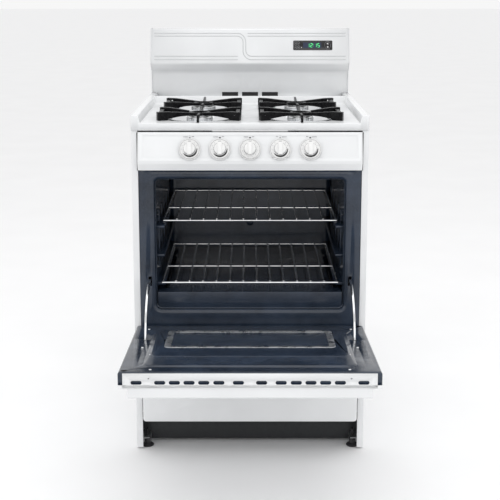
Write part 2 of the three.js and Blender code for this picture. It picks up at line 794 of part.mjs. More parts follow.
// A folded sheet-metal box, open underneath, with its front stepping back to the cooktop.
function backguard() {
  const base = cooktopUnder + gap;
  const skin = (inset) => {
    const low = inset ? base - past : base;
    return outline([
      [panelBack + inset, low], [guardStep.y + inset, guardStep.z], [guardNose.y + inset, guardNose.z],
      [guardTopY + inset, guardTop - inset], [bodyDepth - inset, guardTop - inset], [bodyDepth - inset, low],
    ]);
  };
  const shell = alongX(skin(0), -halfWidth, halfWidth);
  const hollow = alongX(skin(sheet), -halfWidth + sheet, halfWidth - sheet);
  const vents = [-1, 0, 1].map((step) => {
    const x = step * 62;
    const low = cooktopHeight - troughDepth + 2;
    return block(x - 25, x + 25, panelBack - past, panelBack + past, low, cooktopHeight - 4);
  });
  const clear = { x: displayHalf.x + gap, z: displayHalf.z + gap };
  const display = onGuard(block(-clear.x, clear.x, -clear.z, clear.z, -20, 20));
  const rearVents = [];
  for (let row = 0; row < 5; row += 1) {
    const z = guardTop - 80 + row * 12;
    rearVents.push(block(-100, 100, bodyDepth - past, bodyDepth + past, z, z + 4));
  }
  return cut(shell, hollow, ...vents, display, ...rearVents);
}

function clockLens() {
  const face = roundedRectangle(-displayHalf.x, displayHalf.x, -displayHalf.z, displayHalf.z, 3);
  return onGuard(alongZ(face, -2, 1));
}

function clockModule() {
  const half = displayHalf.x - 5;
  return onGuard(block(-half, half, -displayHalf.z + 2, displayHalf.z - 2, -24, -2 - gap));
}

place('backguard', backguard(), white);
place('clock_lens', clockLens(), glass);
place('clock_module', clockModule(), black);

// ---------------------------------------------------------------- door, drawn closed about its hinge pin

const door = new THREE.Group();
door.position.set(0, doorHingeY, doorHingeZ);
door.rotation.x = (doorOpenAngle * Math.PI) / 180;
range.add(door);

const faceIn = -doorHingeY - doorInset;
const faceOut = faceIn - doorThickness;
const flangeDepth = 9;
const linerEdge = faceOut + flangeDepth + gap;
const bottomRadius = 10;

// The notch that keeps the fixed bracket clear of the door, and the slot for the moving arm.
function doorNotches() {
  const notch = block(bracketX - 4, bracketX + 4, faceOut - past, faceIn + past, doorBottom - past, 13);
  const armSlot = block(hingeX - armSlotHalf, hingeX + armSlotHalf, faceIn - 6, faceIn + 6,
    hingeArmRadius - armRadialHalf - 3, hingeArmRadius + armRadialHalf + 3);
  const both = union(notch, armSlot);
  return [both, both.mirror([1, 0, 0])];
}

const ventSlotXs = [26, 70, 104, 137, 170, 203, 256];

// One of the air slots along the top edge of the door, with clipped corners.
function ventSlot(x) {
  const half = 12.5;
  const end = half - 3;
  const near = -1;
  const far = -10;
  return outline([
    [x - end, far], [x + end, far], [x + half, far + 3], [x + half, near - 3],
    [x + end, near], [x - end, near], [x - half, near - 3], [x - half, far + 3],
  ]);
}

function doorOuterPanel() {
  const half = doorHalfWidth;
  const lip = faceOut + flangeDepth;
  const bandEdge = faceIn - 3;
  const face = block(-half, half, faceOut, faceOut + sheet, doorBottom, doorTop + sheet);
  const band = block(-half + bandInset, half - bandInset, faceOut, bandEdge, doorTop, doorTop + sheet);
  const foot = block(-half, half, faceOut, lip, doorBottom, doorBottom + sheet);
  const returns = sides.map(([, side]) => {
    const strip = block(half - sheet, half, faceOut, lip, doorBottom, doorTop + sheet);
    return side > 0 ? strip : strip.mirror([1, 0, 0]);
  });
  const slots = [];
  for (const [, side] of sides) {
    for (const x of ventSlotXs) {
      slots.push(alongZ(ventSlot(side * x), doorTop - past, doorTop + past));
    }
  }
  const view = block(-windowHalfWidth, windowHalfWidth, faceOut - past, faceOut + past,
    windowBottom, windowTop);
  return cut(union(face, band, foot, ...returns), ...slots, view, ...doorNotches());
}

function linerProfile(inset) {
  const shape = new THREE.Shape();
  const low = doorBottom + inset;
  const high = doorTop - gap - inset;
  const radius = bottomRadius - inset;
  const back = faceIn - inset;
  const open = inset ? linerEdge - past : linerEdge;
  shape.moveTo(open, low);
  shape.lineTo(back - radius, low);
  shape.absarc(back - radius, low + radius, radius, -Math.PI / 2, 0);
  shape.lineTo(back, high);
  shape.lineTo(open, high);
  return shape;
}

// The raised middle of the liner, which fits inside the oven opening when the door is shut.
function linerPlug(inset) {
  const half = openingHalfWidth - 4 - plugHeight - inset;
  const low = openingBottom - doorHingeZ + 4 + inset;
  const back = faceIn - plugHeight;
  const proud = faceIn + plugHeight - inset;
  const slopeStart = 300;
  const slopeEnd = 373;
  const profile = outline([
    [back, low], [faceIn, low], [proud, low + plugHeight], [proud, slopeStart],
    [faceIn - inset, slopeEnd], [back, slopeEnd],
  ]);
  return alongX(profile, -half, half);
}

function doorLiner() {
  const half = doorHalfWidth;
  const shell = alongX(linerProfile(0), -half, half);
  const hollow = alongX(linerProfile(sheet), -half + sheet, half - sheet);
  const raised = union(shell, linerPlug(0));
  const vents = block(-half + 20, half - 20, linerEdge - past, 6, doorTop - 8, doorTop + past);
  const view = block(-windowHalfWidth, windowHalfWidth, -20, faceIn + 20, windowBottom, windowTop);
  return cut(raised, hollow, linerPlug(sheet), vents, view, ...doorNotches());
}

const frameWidth = 10;
const plugTop = faceIn + plugHeight;

function windowFrame() {
  const outer = alongY(roundedRectangle(-windowHalfWidth - frameWidth, windowHalfWidth + frameWidth,
    windowBottom - frameWidth, windowTop + frameWidth, 6), plugTop + gap, plugTop + gap + 1.5);
  const overlap = 6;
  const view = block(-windowHalfWidth + overlap, windowHalfWidth - overlap, plugTop - past, plugTop + past,
    windowBottom + overlap, windowTop - overlap);
  return cut(outer, view);
}

function glassPane(y) {
  return block(-windowHalfWidth + gap, windowHalfWidth - gap, y, y + 3.5, windowBottom + gap, windowTop - gap);
}

// A folded grip across the whole width of the door, open towards the floor so that fingers go behind it.
function doorHandle() {
  const reach = 26;
  const face = faceOut - gap;
  const profile = outline([
    [face, doorTop - 3], [face - reach + 4, doorTop - 10], [face - reach, doorTop - 15],
    [face - reach, doorTop - 34], [face - reach + 3, doorTop - 34], [face - reach + 3, doorTop - 16],
    [face - 4, doorTop - 11], [face - 3, doorTop - 42], [face, doorTop - 42],
  ]);
  return alongX(profile, -doorHalfWidth + handleInset, doorHalfWidth - handleInset);
}

// A hinge arm: an eye on the pin, a strap up inside the door, and a curved blade that runs into the body.
// The blade is long enough to stay in its slot in the front frame when the door is fully open.
const pinRadius = 4;
const eyeRadius = 8;
const bladeOverrun = 0.23;

function hingeArm() {
  const inner = hingeArmRadius - armRadialHalf;
  const outer = hingeArmRadius + armRadialHalf;
  const blade = new THREE.Shape();
  blade.absarc(0, 0, outer, -bladeOverrun, Math.PI / 2, false);
  blade.absarc(0, 0, inner, Math.PI / 2, -bladeOverrun, true);
  const strap = outline([[-6, -2], [6, -2], [6, outer - 4], [-6, outer - 4]]);
  const hook = outline([[0, inner], [6, inner], [6, outer], [0, outer]]);
  const left = hingeX - hingeArmWidth / 2;
  const right = hingeX + hingeArmWidth / 2;
  const eye = rod([left, 0, 0], [right, 0, 0], eyeRadius, 12);
  const pinHole = rod([left - past, 0, 0], [right + past, 0, 0], pinRadius + gap, 12);
  const options = { ...plainEnds(hingeArmWidth), curveSegments: 12 };
  const plates = [alongX(blade, left, right, options), alongX(strap, left, right), alongX(hook, left, right)];
  return cut(union(eye, ...plates), pinHole);
}

// The fixed bracket behind the front frame, with the pin that the arm turns on.
function hingeBracket() {
  const left = bracketX - bracketWidth / 2;
  const right = bracketX + bracketWidth / 2;
  const low = doorHingeZ - bracketHalfHeight;
  const high = doorHingeZ + bracketHalfHeight;
  const plate = block(left, right, doorHingeY, 55, low, high);
  const nose = rod([left, doorHingeY, doorHingeZ], [right, doorHingeY, doorHingeZ], bracketHalfHeight, 12);
  const pinEnd = hingeX - hingeArmWidth / 2 - 2;
  const pin = rod([pinEnd, doorHingeY, doorHingeZ], [right, doorHingeY, doorHingeZ], pinRadius, 12);
  const foot = block(left, railOuter, 40, 42, doorHingeZ - 20, doorHingeZ + 25);
  return union(plate, nose, pin, foot);
}

place('door_outer_panel', doorOuterPanel(), white, door);
place('door_liner', doorLiner(), darkEnamel, door);
place('window_frame', windowFrame(), steel, door);
place('window_glass_inner', glassPane(plugTop - 3.6), glass, door);
place('window_glass_outer', glassPane(faceOut + 0.5), glass, door);
place('door_handle', doorHandle(), white, door);
for (const [name, side] of sides) {
  const arm = side > 0 ? hingeArm() : hingeArm().mirror([1, 0, 0]);
  place(`hinge_arm_${name}`, arm, chrome, door);
  const bracket = side > 0 ? hingeBracket() : hingeBracket().mirror([1, 0, 0]);
  place(`hinge_bracket_${name}`, bracket, chrome);
}

// The origin is under the middle of the range as it stands, with its door open.
range.updateMatrixWorld(true);
const extent = new THREE.Box3().setFromObject(range, true);
range.position.y = -(extent.min.y + extent.max.y) / 2;

export default range;
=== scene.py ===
"""A freestanding gas range with its oven door open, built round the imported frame."""
import json
import math

import bmesh
import bpy
from mathutils import Matrix, Vector


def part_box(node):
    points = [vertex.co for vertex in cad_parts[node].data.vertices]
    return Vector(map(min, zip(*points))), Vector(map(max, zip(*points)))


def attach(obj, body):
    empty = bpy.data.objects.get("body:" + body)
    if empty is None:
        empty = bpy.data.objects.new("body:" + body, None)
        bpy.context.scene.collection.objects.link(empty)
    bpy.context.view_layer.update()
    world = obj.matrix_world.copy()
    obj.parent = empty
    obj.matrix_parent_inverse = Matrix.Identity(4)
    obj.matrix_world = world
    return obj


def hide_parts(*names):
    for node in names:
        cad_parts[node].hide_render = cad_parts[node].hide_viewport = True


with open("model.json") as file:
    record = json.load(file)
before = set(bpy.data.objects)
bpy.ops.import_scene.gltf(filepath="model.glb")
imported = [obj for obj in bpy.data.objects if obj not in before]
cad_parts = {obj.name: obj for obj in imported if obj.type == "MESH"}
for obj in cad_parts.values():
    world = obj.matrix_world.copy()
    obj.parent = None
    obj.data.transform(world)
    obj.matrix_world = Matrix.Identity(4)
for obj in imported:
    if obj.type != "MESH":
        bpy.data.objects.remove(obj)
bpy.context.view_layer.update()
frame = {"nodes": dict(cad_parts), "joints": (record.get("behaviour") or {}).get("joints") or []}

# -------------------- side panels
# Two tall panels of sheet steel, each folded in along its front and back edges, coated all over with
# white porcelain enamel and screwed to the base frame. Porcelain is glass fired onto the steel: glossy,
# a little uneven, with a faint orange-peel skin.


def finish(name, base, roughness, metallic=0.0, colour=None, gloss=None, skin=()):
    """A material. Its colour and roughness can wander with a pattern, and its skin is layers of bump.

    colour and gloss are a kind, a scale and a detail, the values at the pattern's two ends, and where in
    it those ends lie. A layer of skin is a kind, a scale and a detail, with its height in metres.
    """
    material = bpy.data.materials.new(name)
    material.use_nodes = True
    nodes, links = material.node_tree.nodes, material.node_tree.links
    shader = nodes["Principled BSDF"]
    shader.inputs["Base Color"].default_value = (*base, 1)
    shader.inputs["Roughness"].default_value = roughness
    shader.inputs["Metallic"].default_value = metallic
    for socket, wander in (("Base Color", colour), ("Roughness", gloss)):
        if wander:
            kind, scale, detail, *ends = wander
            links.new(between(material, pattern(material, kind, scale, detail), *ends), shader.inputs[socket])
    below = None
    for kind, scale, detail, height in skin:
        bump = nodes.new("ShaderNodeBump")
        bump.inputs["Distance"].default_value = height
        links.new(pattern(material, kind, scale, detail), bump.inputs["Height"])
        if below:
            links.new(below, bump.inputs["Normal"])
        below = bump.outputs["Normal"]
    if below:
        links.new(below, shader.inputs["Normal"])
    return material


def pattern(material, kind, scale, detail):
    """A Noise or Voronoi texture in object space, its scale in repeats per metre."""
    nodes, links = material.node_tree.nodes, material.node_tree.links
    if "Place" not in nodes:
        nodes.new("ShaderNodeTexCoord").name = "Place"
    texture = nodes.new("ShaderNodeTex" + kind)
    links.new(nodes["Place"].outputs["Object"], texture.inputs["Vector"])
    texture.inputs["Scale"].default_value = scale
    texture.inputs["Detail"].default_value = detail
    return texture.outputs["Distance" if kind == "Voronoi" else 0]


def between(material, factor, low, high, start=0.0, end=1.0):
    """Turns a pattern into a range of greys or colours."""
    ramp = material.node_tree.nodes.new("ShaderNodeValToRGB")
    for stop, value, place in zip(ramp.color_ramp.elements, (low, high), (start, end)):
        stop.position = place
        stop.color = (*value, 1) if isinstance(value, tuple) else (value, value, value, 1)
    material.node_tree.links.new(factor, ramp.inputs["Fac"])
    return ramp.outputs["Color"]


def darker(tone, share):
    return tuple(share * c for c in tone)


def porcelain(name, tone):
    return finish(name, tone, 0.16, colour=("Noise", 9, 3, darker(tone, 0.965), tone, 0.35, 0.65),
                  gloss=("Noise", 26, 4, 0.12, 0.24, 0.3, 0.7),
                  skin=[("Noise", 420, 2, 0.00004), ("Noise", 22, 1, 0.0004)])


def settle(mesh, crease=40):
    """Faces out, smooth except across creases."""
    bmesh.ops.remove_doubles(mesh, verts=mesh.verts, dist=0.00001)
    bmesh.ops.recalc_face_normals(mesh, faces=mesh.faces)
    for face in mesh.faces:
        face.smooth = True
    for edge in mesh.edges:
        if len(edge.link_faces) == 2 and edge.calc_face_angle(0) > math.radians(crease):
            edge.smooth = False


def fit(name, mesh, material, body, nodes=(), crease=40):
    """Makes a finished piece that rides on a body and stands for its CAD nodes."""
    settle(mesh, crease)
    data = bpy.data.meshes.new(name)
    mesh.to_mesh(data)
    mesh.free()
    data.materials.append(material)
    thing = bpy.data.objects.new(name, data)
    bpy.context.scene.collection.objects.link(thing)
    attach(thing, body)
    if nodes:
        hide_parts(*nodes)
    return thing


def solid_of(node):
    """A merged copy of a CAD node, with its flat faces whole again."""
    mesh = bmesh.new()
    mesh.from_mesh(frame["nodes"][node].data)
    bmesh.ops.remove_doubles(mesh, verts=mesh.verts, dist=0.00002)
    bmesh.ops.dissolve_limit(mesh, angle_limit=math.radians(1), verts=mesh.verts, edges=mesh.edges)
    return mesh


def bend(mesh, parts, radius, segments=6, affect="EDGES", clamp=False):
    bmesh.ops.bevel(mesh, geom=parts, offset=radius, segments=segments, profile=0.5, affect=affect,
                    material=-1, clamp_overlap=clamp)


def round_edges(mesh, radius, chosen=lambda edge: True, segments=3, sharp=30):
    """Rounds the sharp edges that are chosen, as far as there is room."""
    edges = [e for e in mesh.edges if len(e.link_faces) == 2
             and e.calc_face_angle(0) > math.radians(sharp) and chosen(e)]
    bend(mesh, edges, radius, segments, clamp=True)


def verts_of(made):
    return [v for v in made["geom"] if isinstance(v, bmesh.types.BMVert)]


def long_in(axis, length):
    return lambda edge: abs((edge.verts[0].co - edge.verts[1].co)[axis]) > length


white_porcelain = porcelain("white_porcelain", (0.79, 0.8, 0.81))

for node in ("left_side_panel", "right_side_panel"):
    panel = solid_of(node)
    round_edges(panel, 0.0011, long_in(2, 0.5))
    fit(node + "_skin", panel, white_porcelain, "body", [node])

# -------------------- back panel and base frame
# The back is one flat sheet of galvanised steel with louvres and a hole for the gas pipe. The base frame is
# folded from the same stock: two side rails with ledges that the drawer runs on, joined front and back.


def dress(nodes, material):
    """A CAD node whose shape is right keeps it and gets its real finish."""
    for node in nodes:
        thing = frame["nodes"][node]
        thing.data.materials.clear()
        thing.data.materials.append(material)


bare_steel = finish("galvanised_sheet", (0.55, 0.57, 0.58), 0.4, 1.0,
                    colour=("Voronoi", 90, 0, (0.46, 0.48, 0.5), (0.62, 0.64, 0.65)),
                    gloss=("Noise", 60, 4, 0.32, 0.52, 0.3, 0.7), skin=[("Noise", 800, 3, 0.00003)])
dress(["back_panel", "base_frame"], bare_steel)


def rod(mesh, start, end, radius, segments):
    """A round bar between two points."""
    start, end = Vector(start), Vector(end)
    way = end - start
    turn = way.to_track_quat("Z", "Y").to_matrix().to_4x4()
    bmesh.ops.create_cone(mesh, cap_ends=True, segments=segments, radius1=radius, radius2=radius,
                          depth=way.length, matrix=Matrix.Translation((start + end) / 2) @ turn)


def set_new(mesh, before, place):
    """Puts what was added to a mesh after before was noted in its place."""
    bmesh.ops.transform(mesh, matrix=place, verts=[v for v in mesh.verts if v not in before])


def turned(mesh, outline, segments, place):
    """Spins (radius, height) points about Z, then puts the result in place."""
    before = set(mesh.verts)
    points = [mesh.verts.new((r, 0, z)) for r, z in outline]
    edges = [mesh.edges.new(pair) for pair in zip(points, points[1:])]
    bmesh.ops.spin(mesh, geom=points + edges, cent=(0, 0, 0), axis=(0, 0, 1), angle=2 * math.pi,
                   steps=segments, use_merge=True)
    bmesh.ops.remove_doubles(mesh, verts=[v for v in mesh.verts if v not in before], dist=0.000005)
    set_new(mesh, before, place)


def box(mesh, x, y, z, soft=0.0):
    """A block between (low, high) pairs, its edges rounded by soft."""
    low = Vector((x[0], y[0], z[0]))
    size = Vector((x[1], y[1], z[1])) - low
    scale = Matrix.Diagonal((*size, 1))
    made = bmesh.ops.create_cube(mesh, size=1, matrix=Matrix.Translation(low + size / 2) @ scale)["verts"]
    if soft:
        edges = list({e for v in made for e in v.link_edges})
        bend(mesh, edges, soft, 3)


# -------------------- levelling legs
# Each leg is a black nylon foot with a hexagon above it, moulded round a screw that threads into the base
# frame. The hexagon is turned to level the range.

foot_nylon = finish("foot_nylon", (0.02, 0.02, 0.022), 0.5,
                    gloss=("Noise", 120, 3, 0.42, 0.62, 0.3, 0.7), skin=[("Noise", 1500, 2, 0.00004)])
thread_low, thread_pitch, ridges = 0.0206, 0.001, 28
for end in ("front", "rear"):
    for side in ("left", "right"):
        node = f"levelling_leg_{end}_{side}"
        low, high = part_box(node)
        centre = Matrix.Translation(((low.x + high.x) / 2, (low.y + high.y) / 2, 0))
        radius = (high.x - low.x) / 2
        leg = bmesh.new()
        turned(leg, [(0, 0), (radius - 0.001, 0), (radius, 0.001), (radius, 0.003), (radius - 0.006, 0.0075),
                     (0.0095, 0.008), (0, 0.008)], 40, centre)
        hexagon = centre @ Matrix.Translation((0, 0, 0.0145))
        bmesh.ops.create_cone(leg, cap_ends=True, segments=6, radius1=0.0095, radius2=0.0095, depth=0.013,
                              matrix=hexagon)
        for ridge in range(ridges):
            z = thread_low + thread_pitch * ridge
            thread = [(0, z), (0.0034, z), (0.004, z + 0.0005), (0.0034, z + 0.001), (0, z + 0.001)]
            turned(leg, thread, 12, centre)
        fit(node + "_foot", leg, foot_nylon, "body", [node])

# -------------------- toe kick
# A black painted sheet set back under the drawer, screwed to the base rails. The paint is a coarse
# textured black with fine pale grains.

# The same textured black also serves as painted shade in the gap round the control panel.
kick_paint_and_gap_shade = finish("textured_black_paint_and_gap_shade", (0.012, 0.013, 0.014), 0.5,
                    colour=("Voronoi", 620, 0, (0.05, 0.054, 0.058), (0.009, 0.010, 0.012), 0.1, 0.3),
                    gloss=("Noise", 90, 4, 0.36, 0.6, 0.3, 0.7), skin=[("Noise", 700, 3, 0.00012)])
dress(["toe_kick"], kick_paint_and_gap_shade)

# -------------------- storage drawer
# The drawer front is a white enamelled pan with rounded edges, hooked and screwed to a plain galvanised box
# that slides on the ledges of the base frame.

low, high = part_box("drawer_front")
front = bmesh.new()
box(front, (low.x, high.x), (low.y, high.y), (low.z, high.z))
upright = [e for e in front.edges if abs((e.verts[0].co - e.verts[1].co).y) > 0.01]
bend(front, upright, 0.008)
round_edges(front, 0.004, lambda e: max(v.co.y for v in e.verts) < low.y + 0.001, segments=5, sharp=60)
rear = [f for f in front.faces if f.calc_center_median().y > high.y - 0.0001]
bmesh.ops.delete(front, geom=rear, context="FACES_ONLY")
pan = fit("drawer_front_pan", front, white_porcelain, "drawer", ["drawer_front"])


def thicken(thing, depth):
    wall = thing.modifiers.new("wall", "SOLIDIFY")
    wall.thickness = depth
    wall.offset = -1


thicken(pan, 0.0012)
dress(["drawer_box"], bare_steel)

# -------------------- oven front frame
# One steel pressing round the oven mouth, its inner edge rolled into the oven, with a slot on each side for
# the hinge arm and one for the bracket. The enamel is blue-black with fine pale specks.

dark_enamel = finish("speckled_blue_black_enamel", (0.02, 0.03, 0.048), 0.16,
                     gloss=("Noise", 40, 4, 0.14, 0.26, 0.3, 0.7),
                     skin=[("Noise", 520, 2, 0.00002), ("Noise", 24, 1, 0.0003)])
speck = between(dark_enamel, pattern(dark_enamel, "Voronoi", 780, 0), 1.0, 0.0, 0.1, 0.3)
cloud = between(dark_enamel, pattern(dark_enamel, "Noise", 14, 4), (0.010, 0.016, 0.028),
                (0.024, 0.036, 0.060), 0.3, 0.7)
nodes, links = dark_enamel.node_tree.nodes, dark_enamel.node_tree.links
mix = nodes.new("ShaderNodeMix")
mix.data_type = "RGBA"
factor, ground, fleck = (mix.inputs[key] for key in (0, 6, 7))
links.new(speck, factor)
links.new(cloud, ground)
fleck.default_value = (0.07, 0.095, 0.135, 1)
links.new(mix.outputs[2], nodes["Principled BSDF"].inputs["Base Color"])


def rotated(degrees, axis):
    return Matrix.Rotation(math.radians(degrees), 4, axis)


def standing(y):
    """Turns a shape drawn flat so that it stands across the range at a depth, facing the front."""
    return Matrix.Translation((0, y, 0)) @ rotated(90, "X")


def rounded_loop(mesh, x, v, radius, place, steps=8):
    """The edges of a rounded rectangle between (low, high) pairs, in the plane of place."""
    edges_before = set(mesh.edges)
    faces_before = set(mesh.faces)
    centre = Matrix.Translation(((x[0] + x[1]) / 2, (v[0] + v[1]) / 2, 0))
    scale = Matrix.Diagonal(((x[1] - x[0]) / 2, (v[1] - v[0]) / 2, 1, 1))
    grid = bmesh.ops.create_grid(mesh, x_segments=1, y_segments=1, size=1,
                                 matrix=place @ centre @ scale)["verts"]
    bend(mesh, grid, radius, steps, "VERTICES")
    plate = [f for f in mesh.faces if f not in faces_before]
    bmesh.ops.delete(mesh, geom=plate, context="FACES_ONLY")
    return [e for e in mesh.edges if e not in edges_before]


def wall_between(mesh, loops):
    for near, far in zip(loops, loops[1:]):
        bmesh.ops.bridge_loops(mesh, edges=near + far)


def cut_window(mesh, low, high):
    """Cuts a box-shaped hole out of the sheet where it passes through the box."""
    for axis in range(3):
        for value in (low[axis], high[axis]):
            inside = [f for f in mesh.faces
                      if all(min(v.co[k] for v in f.verts) < high[k] + 1e-6
                             and max(v.co[k] for v in f.verts) > low[k] - 1e-6 for k in range(3))]
            edges = {e for f in inside for e in f.edges}
            geom = inside + list(edges) + list({v for f in inside for v in f.verts})
            place = Vector((0, 0, 0))
            place[axis] = value
            normal = Vector((0, 0, 0))
            normal[axis] = 1
            bmesh.ops.bisect_plane(mesh, geom=geom, plane_co=place, plane_no=normal, dist=1e-7)
    gone = [f for f in mesh.faces if all(low[k] - 1e-6 <= f.calc_center_median()[k] <= high[k] + 1e-6
                                         for k in range(3))]
    bmesh.ops.delete(mesh, geom=gone, context="FACES")


frame_low, frame_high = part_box("oven_face_frame")
front_y = frame_low.y
opening_half = 0.247
opening_bottom = 0.391
opening_top = 0.740
rim_roll = 0.010


def opening_loop(mesh, grow, y, radius):
    half, z = opening_half + grow, (opening_bottom - grow, opening_top + grow)
    return rounded_loop(mesh, (-half, half), z, radius, standing(y))


face_frame = bmesh.new()
loops = [rounded_loop(face_frame, (frame_low.x, frame_high.x), (frame_low.z, frame_high.z), 0.001,
                      standing(front_y))]
for step in range(7):
    turn = math.radians(90 * step / 6)
    grow = rim_roll * (1 - math.sin(turn))
    loops.append(opening_loop(face_frame, grow, front_y + rim_roll * (1 - math.cos(turn)), 0.014 + grow))
wall_between(face_frame, loops)
arm_x, arm_slot_half = 0.262, 0.0045
arm_slot = (arm_x, arm_slot_half, 0.4686, 0.0125)
bracket_slot = (0.2715, 0.0019, 0.333, 0.0083)
for side in (-1, 1):
    for centre, half_x, z, half_z in (arm_slot, bracket_slot):
        cut_window(face_frame, (side * centre - half_x, front_y - 0.002, z - half_z),
                   (side * centre + half_x, front_y + 0.002, z + half_z))
frame_piece = fit("oven_front_frame", face_frame, dark_enamel, "body", ["oven_face_frame"])
thicken(frame_piece, 0.0012)

# -------------------- oven liner
# The oven is a box of the same enamelled steel, drawn with rounded corners. Three pairs of pressed guides run
# along the side walls for the racks, and a plugged hole with a screw sits in the middle of the back wall.

liner_low, liner_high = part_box("oven_liner")
liner_back = liner_high.y - 0.0015
liner = bmesh.new()
corner = 0.018
loops = [opening_loop(liner, 0, liner_low.y, 0.014), opening_loop(liner, 0, liner_low.y + 0.02, corner)]
for step in range(6):
    turn = math.radians(90 * step / 5)
    loops.append(opening_loop(liner, -corner * (1 - math.cos(turn)),
                              liner_back - corner * (1 - math.sin(turn)),
                              max(corner * math.cos(turn), 0.002)))
wall_between(liner, loops)
bmesh.ops.contextual_create(liner, geom=loops[-1])
settle(liner)
bmesh.ops.reverse_faces(liner, faces=liner.faces)
shell = fit("oven_liner_box", liner, dark_enamel, "body", ["oven_liner"])
thicken(shell, 0.0015)

guides = bmesh.new()
guide_reach = 0.022
guide_tops = [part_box("oven_rack_lower")[0].z - 0.0006, 0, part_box("oven_rack_upper")[0].z - 0.0006]
guide_tops[1] = (guide_tops[0] + guide_tops[2]) / 2
for side in (-1, 1):
    for top in guide_tops:
        x = sorted((side * (opening_half + 0.0005), side * (opening_half - guide_reach)))
        box(guides, x, (liner_low.y + 0.025, liner_back - 0.02), (top - 0.008, top), 0.0032)
    for place in range(5):
        y = liner_low.y + 0.09 + 0.085 * place
        x = sorted((side * (opening_half + 0.0005), side * (opening_half - 0.004)))
        box(guides, x, (y, y + 0.03), (guide_tops[0] + 0.03, guide_tops[2] + 0.03), 0.0019)
fit("oven_rack_guides", guides, dark_enamel, "body")

plug = bmesh.new()
plug_z = 0.511
facing = Matrix.Translation((0, liner_back, plug_z)) @ rotated(90, "X")
turned(plug, [(0, 0.004), (0.006, 0.0036), (0.011, 0.0015), (0.012, 0.0)], 32, facing)
fit("oven_back_plug", plug, dark_enamel, "body")

floor_plate = solid_of("oven_floor_panel")
round_edges(floor_plate, 0.0011, long_in(0, 0.2))
fit("oven_floor_plate", floor_plate, dark_enamel, "body", ["oven_floor_panel"])
dress(["oven_burner"], bare_steel)

# -------------------- oven racks
# Each rack is chrome-plated steel wire: a bent frame with a middle bar, and twelve long wires laid over the
# top and spot-welded, their ends just proud of the front bar.


def chrome_plate(name, roughness):
    return finish(name, (0.74, 0.75, 0.77), roughness, 1.0,
                  colour=("Noise", 12, 3, (0.68, 0.69, 0.71), (0.8, 0.81, 0.82), 0.35, 0.65),
                  gloss=("Noise", 45, 4, roughness * 0.7, roughness * 1.8, 0.35, 0.75),
                  skin=[("Noise", 900, 2, 0.000015)])


rack_chrome = chrome_plate("rack_chrome", 0.16)


def bead(mesh, place, radius):
    bmesh.ops.create_uvsphere(mesh, u_segments=12, v_segments=8, radius=radius,
                              matrix=Matrix.Translation(place))


wire = 0.0023
rail = 0.0026
rack_spans = 13
rack_middle = 0.175
for level in ("upper", "lower"):
    low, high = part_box("oven_rack_" + level)
    rail_z = low.z + rail
    wire_z = high.z - wire
    near, far = low.y + wire, high.y - wire
    edge = high.x - rail
    rack = bmesh.new()
    corners = [(-edge, near, rail_z), (edge, near, rail_z), (edge, far, rail_z), (-edge, far, rail_z)]
    for start, end in zip(corners, corners[1:] + corners[:1]):
        rod(rack, start, end, rail, 14)
        bead(rack, start, rail)
    rod(rack, (-edge, near + rack_middle, rail_z), (edge, near + rack_middle, rail_z), rail, 14)
    for span in range(1, rack_spans):
        x = -edge + 2 * edge * span / rack_spans
        rod(rack, (x, near, wire_z), (x, far, wire_z), wire, 12)
        bead(rack, (x, near, wire_z), wire)
        bead(rack, (x, far, wire_z), wire)
    fit(level + "_wire_rack", rack, rack_chrome, level + "_rack", ["oven_rack_" + level])

# -------------------- cooktop
# One deep-drawn white enamelled pressing: a raised rim all round, a sunk basin with four burner holes, and a
# flat deck behind that runs under the backguard.

top_low, top_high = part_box("cooktop")
basin_half = 0.281
basin_slope = 0.006
basin_back = front_y + 0.500
basin_floor = top_high.z - 0.020
ridge_end = basin_back + basin_slope + 0.012
trough_floor = top_high.z - 0.017
hole_radius = 0.088


def sheet_through(mesh, sections):
    """A sheet that passes through open chains of points, each with the same number."""
    chains = []
    for section in sections:
        points = [mesh.verts.new(point) for point in section]
        chains.append([mesh.edges.new(pair) for pair in zip(points, points[1:])])
    for near, far in zip(chains, chains[1:]):
        bmesh.ops.bridge_loops(mesh, edges=near + far)


def punch(mesh, face, rings):
    """Opens holes in a flat face, each ring a closed loop of edges lying in it."""
    border = list(face.edges)
    bmesh.ops.delete(mesh, geom=[face], context="FACES_ONLY")
    bmesh.ops.triangle_fill(mesh, use_beauty=True, edges=border + [e for ring in rings for e in ring])


def across_cooktop(y, floor_z, rim_z):
    """One cross-section, from the left skirt over both rims to the right skirt."""
    half, slope, low = top_high.x, basin_half + basin_slope, top_low.z
    right = [(basin_half, floor_z), (slope, rim_z), (half, rim_z), (half, low)]
    return [(-x, y, z) for x, z in reversed(right)] + [(x, y, z) for x, z in right]


cooktop = bmesh.new()
near, far, rim = top_low.y, top_high.y, top_high.z
skirt = [(x, y, top_low.z) for x, y, z in across_cooktop(near, 0, 0)]
sections = [skirt,
            across_cooktop(near, basin_floor, rim),
            across_cooktop(basin_back, basin_floor, rim),
            across_cooktop(basin_back + basin_slope, rim, rim),
            across_cooktop(ridge_end, rim, rim),
            across_cooktop(ridge_end + 0.003, trough_floor, rim),
            across_cooktop(far, trough_floor, rim)]
sheet_through(cooktop, sections)
bmesh.ops.remove_doubles(cooktop, verts=cooktop.verts, dist=0.00001)
bmesh.ops.dissolve_degenerate(cooktop, edges=cooktop.edges, dist=0.00001)
uprights = [e for e in cooktop.edges if abs(e.verts[0].co.z - e.verts[1].co.z) > 0.03
            and min(v.co.y for v in e.verts) < near + 0.001 and abs(e.verts[0].co.x) > 0.3]
bend(cooktop, uprights, 0.010)
round_edges(cooktop, 0.0036, lambda e: abs(e.verts[0].co.z - e.verts[1].co.z) <= 0.03
            or max(v.co.y for v in e.verts) >= near + 0.02, segments=4, sharp=20)

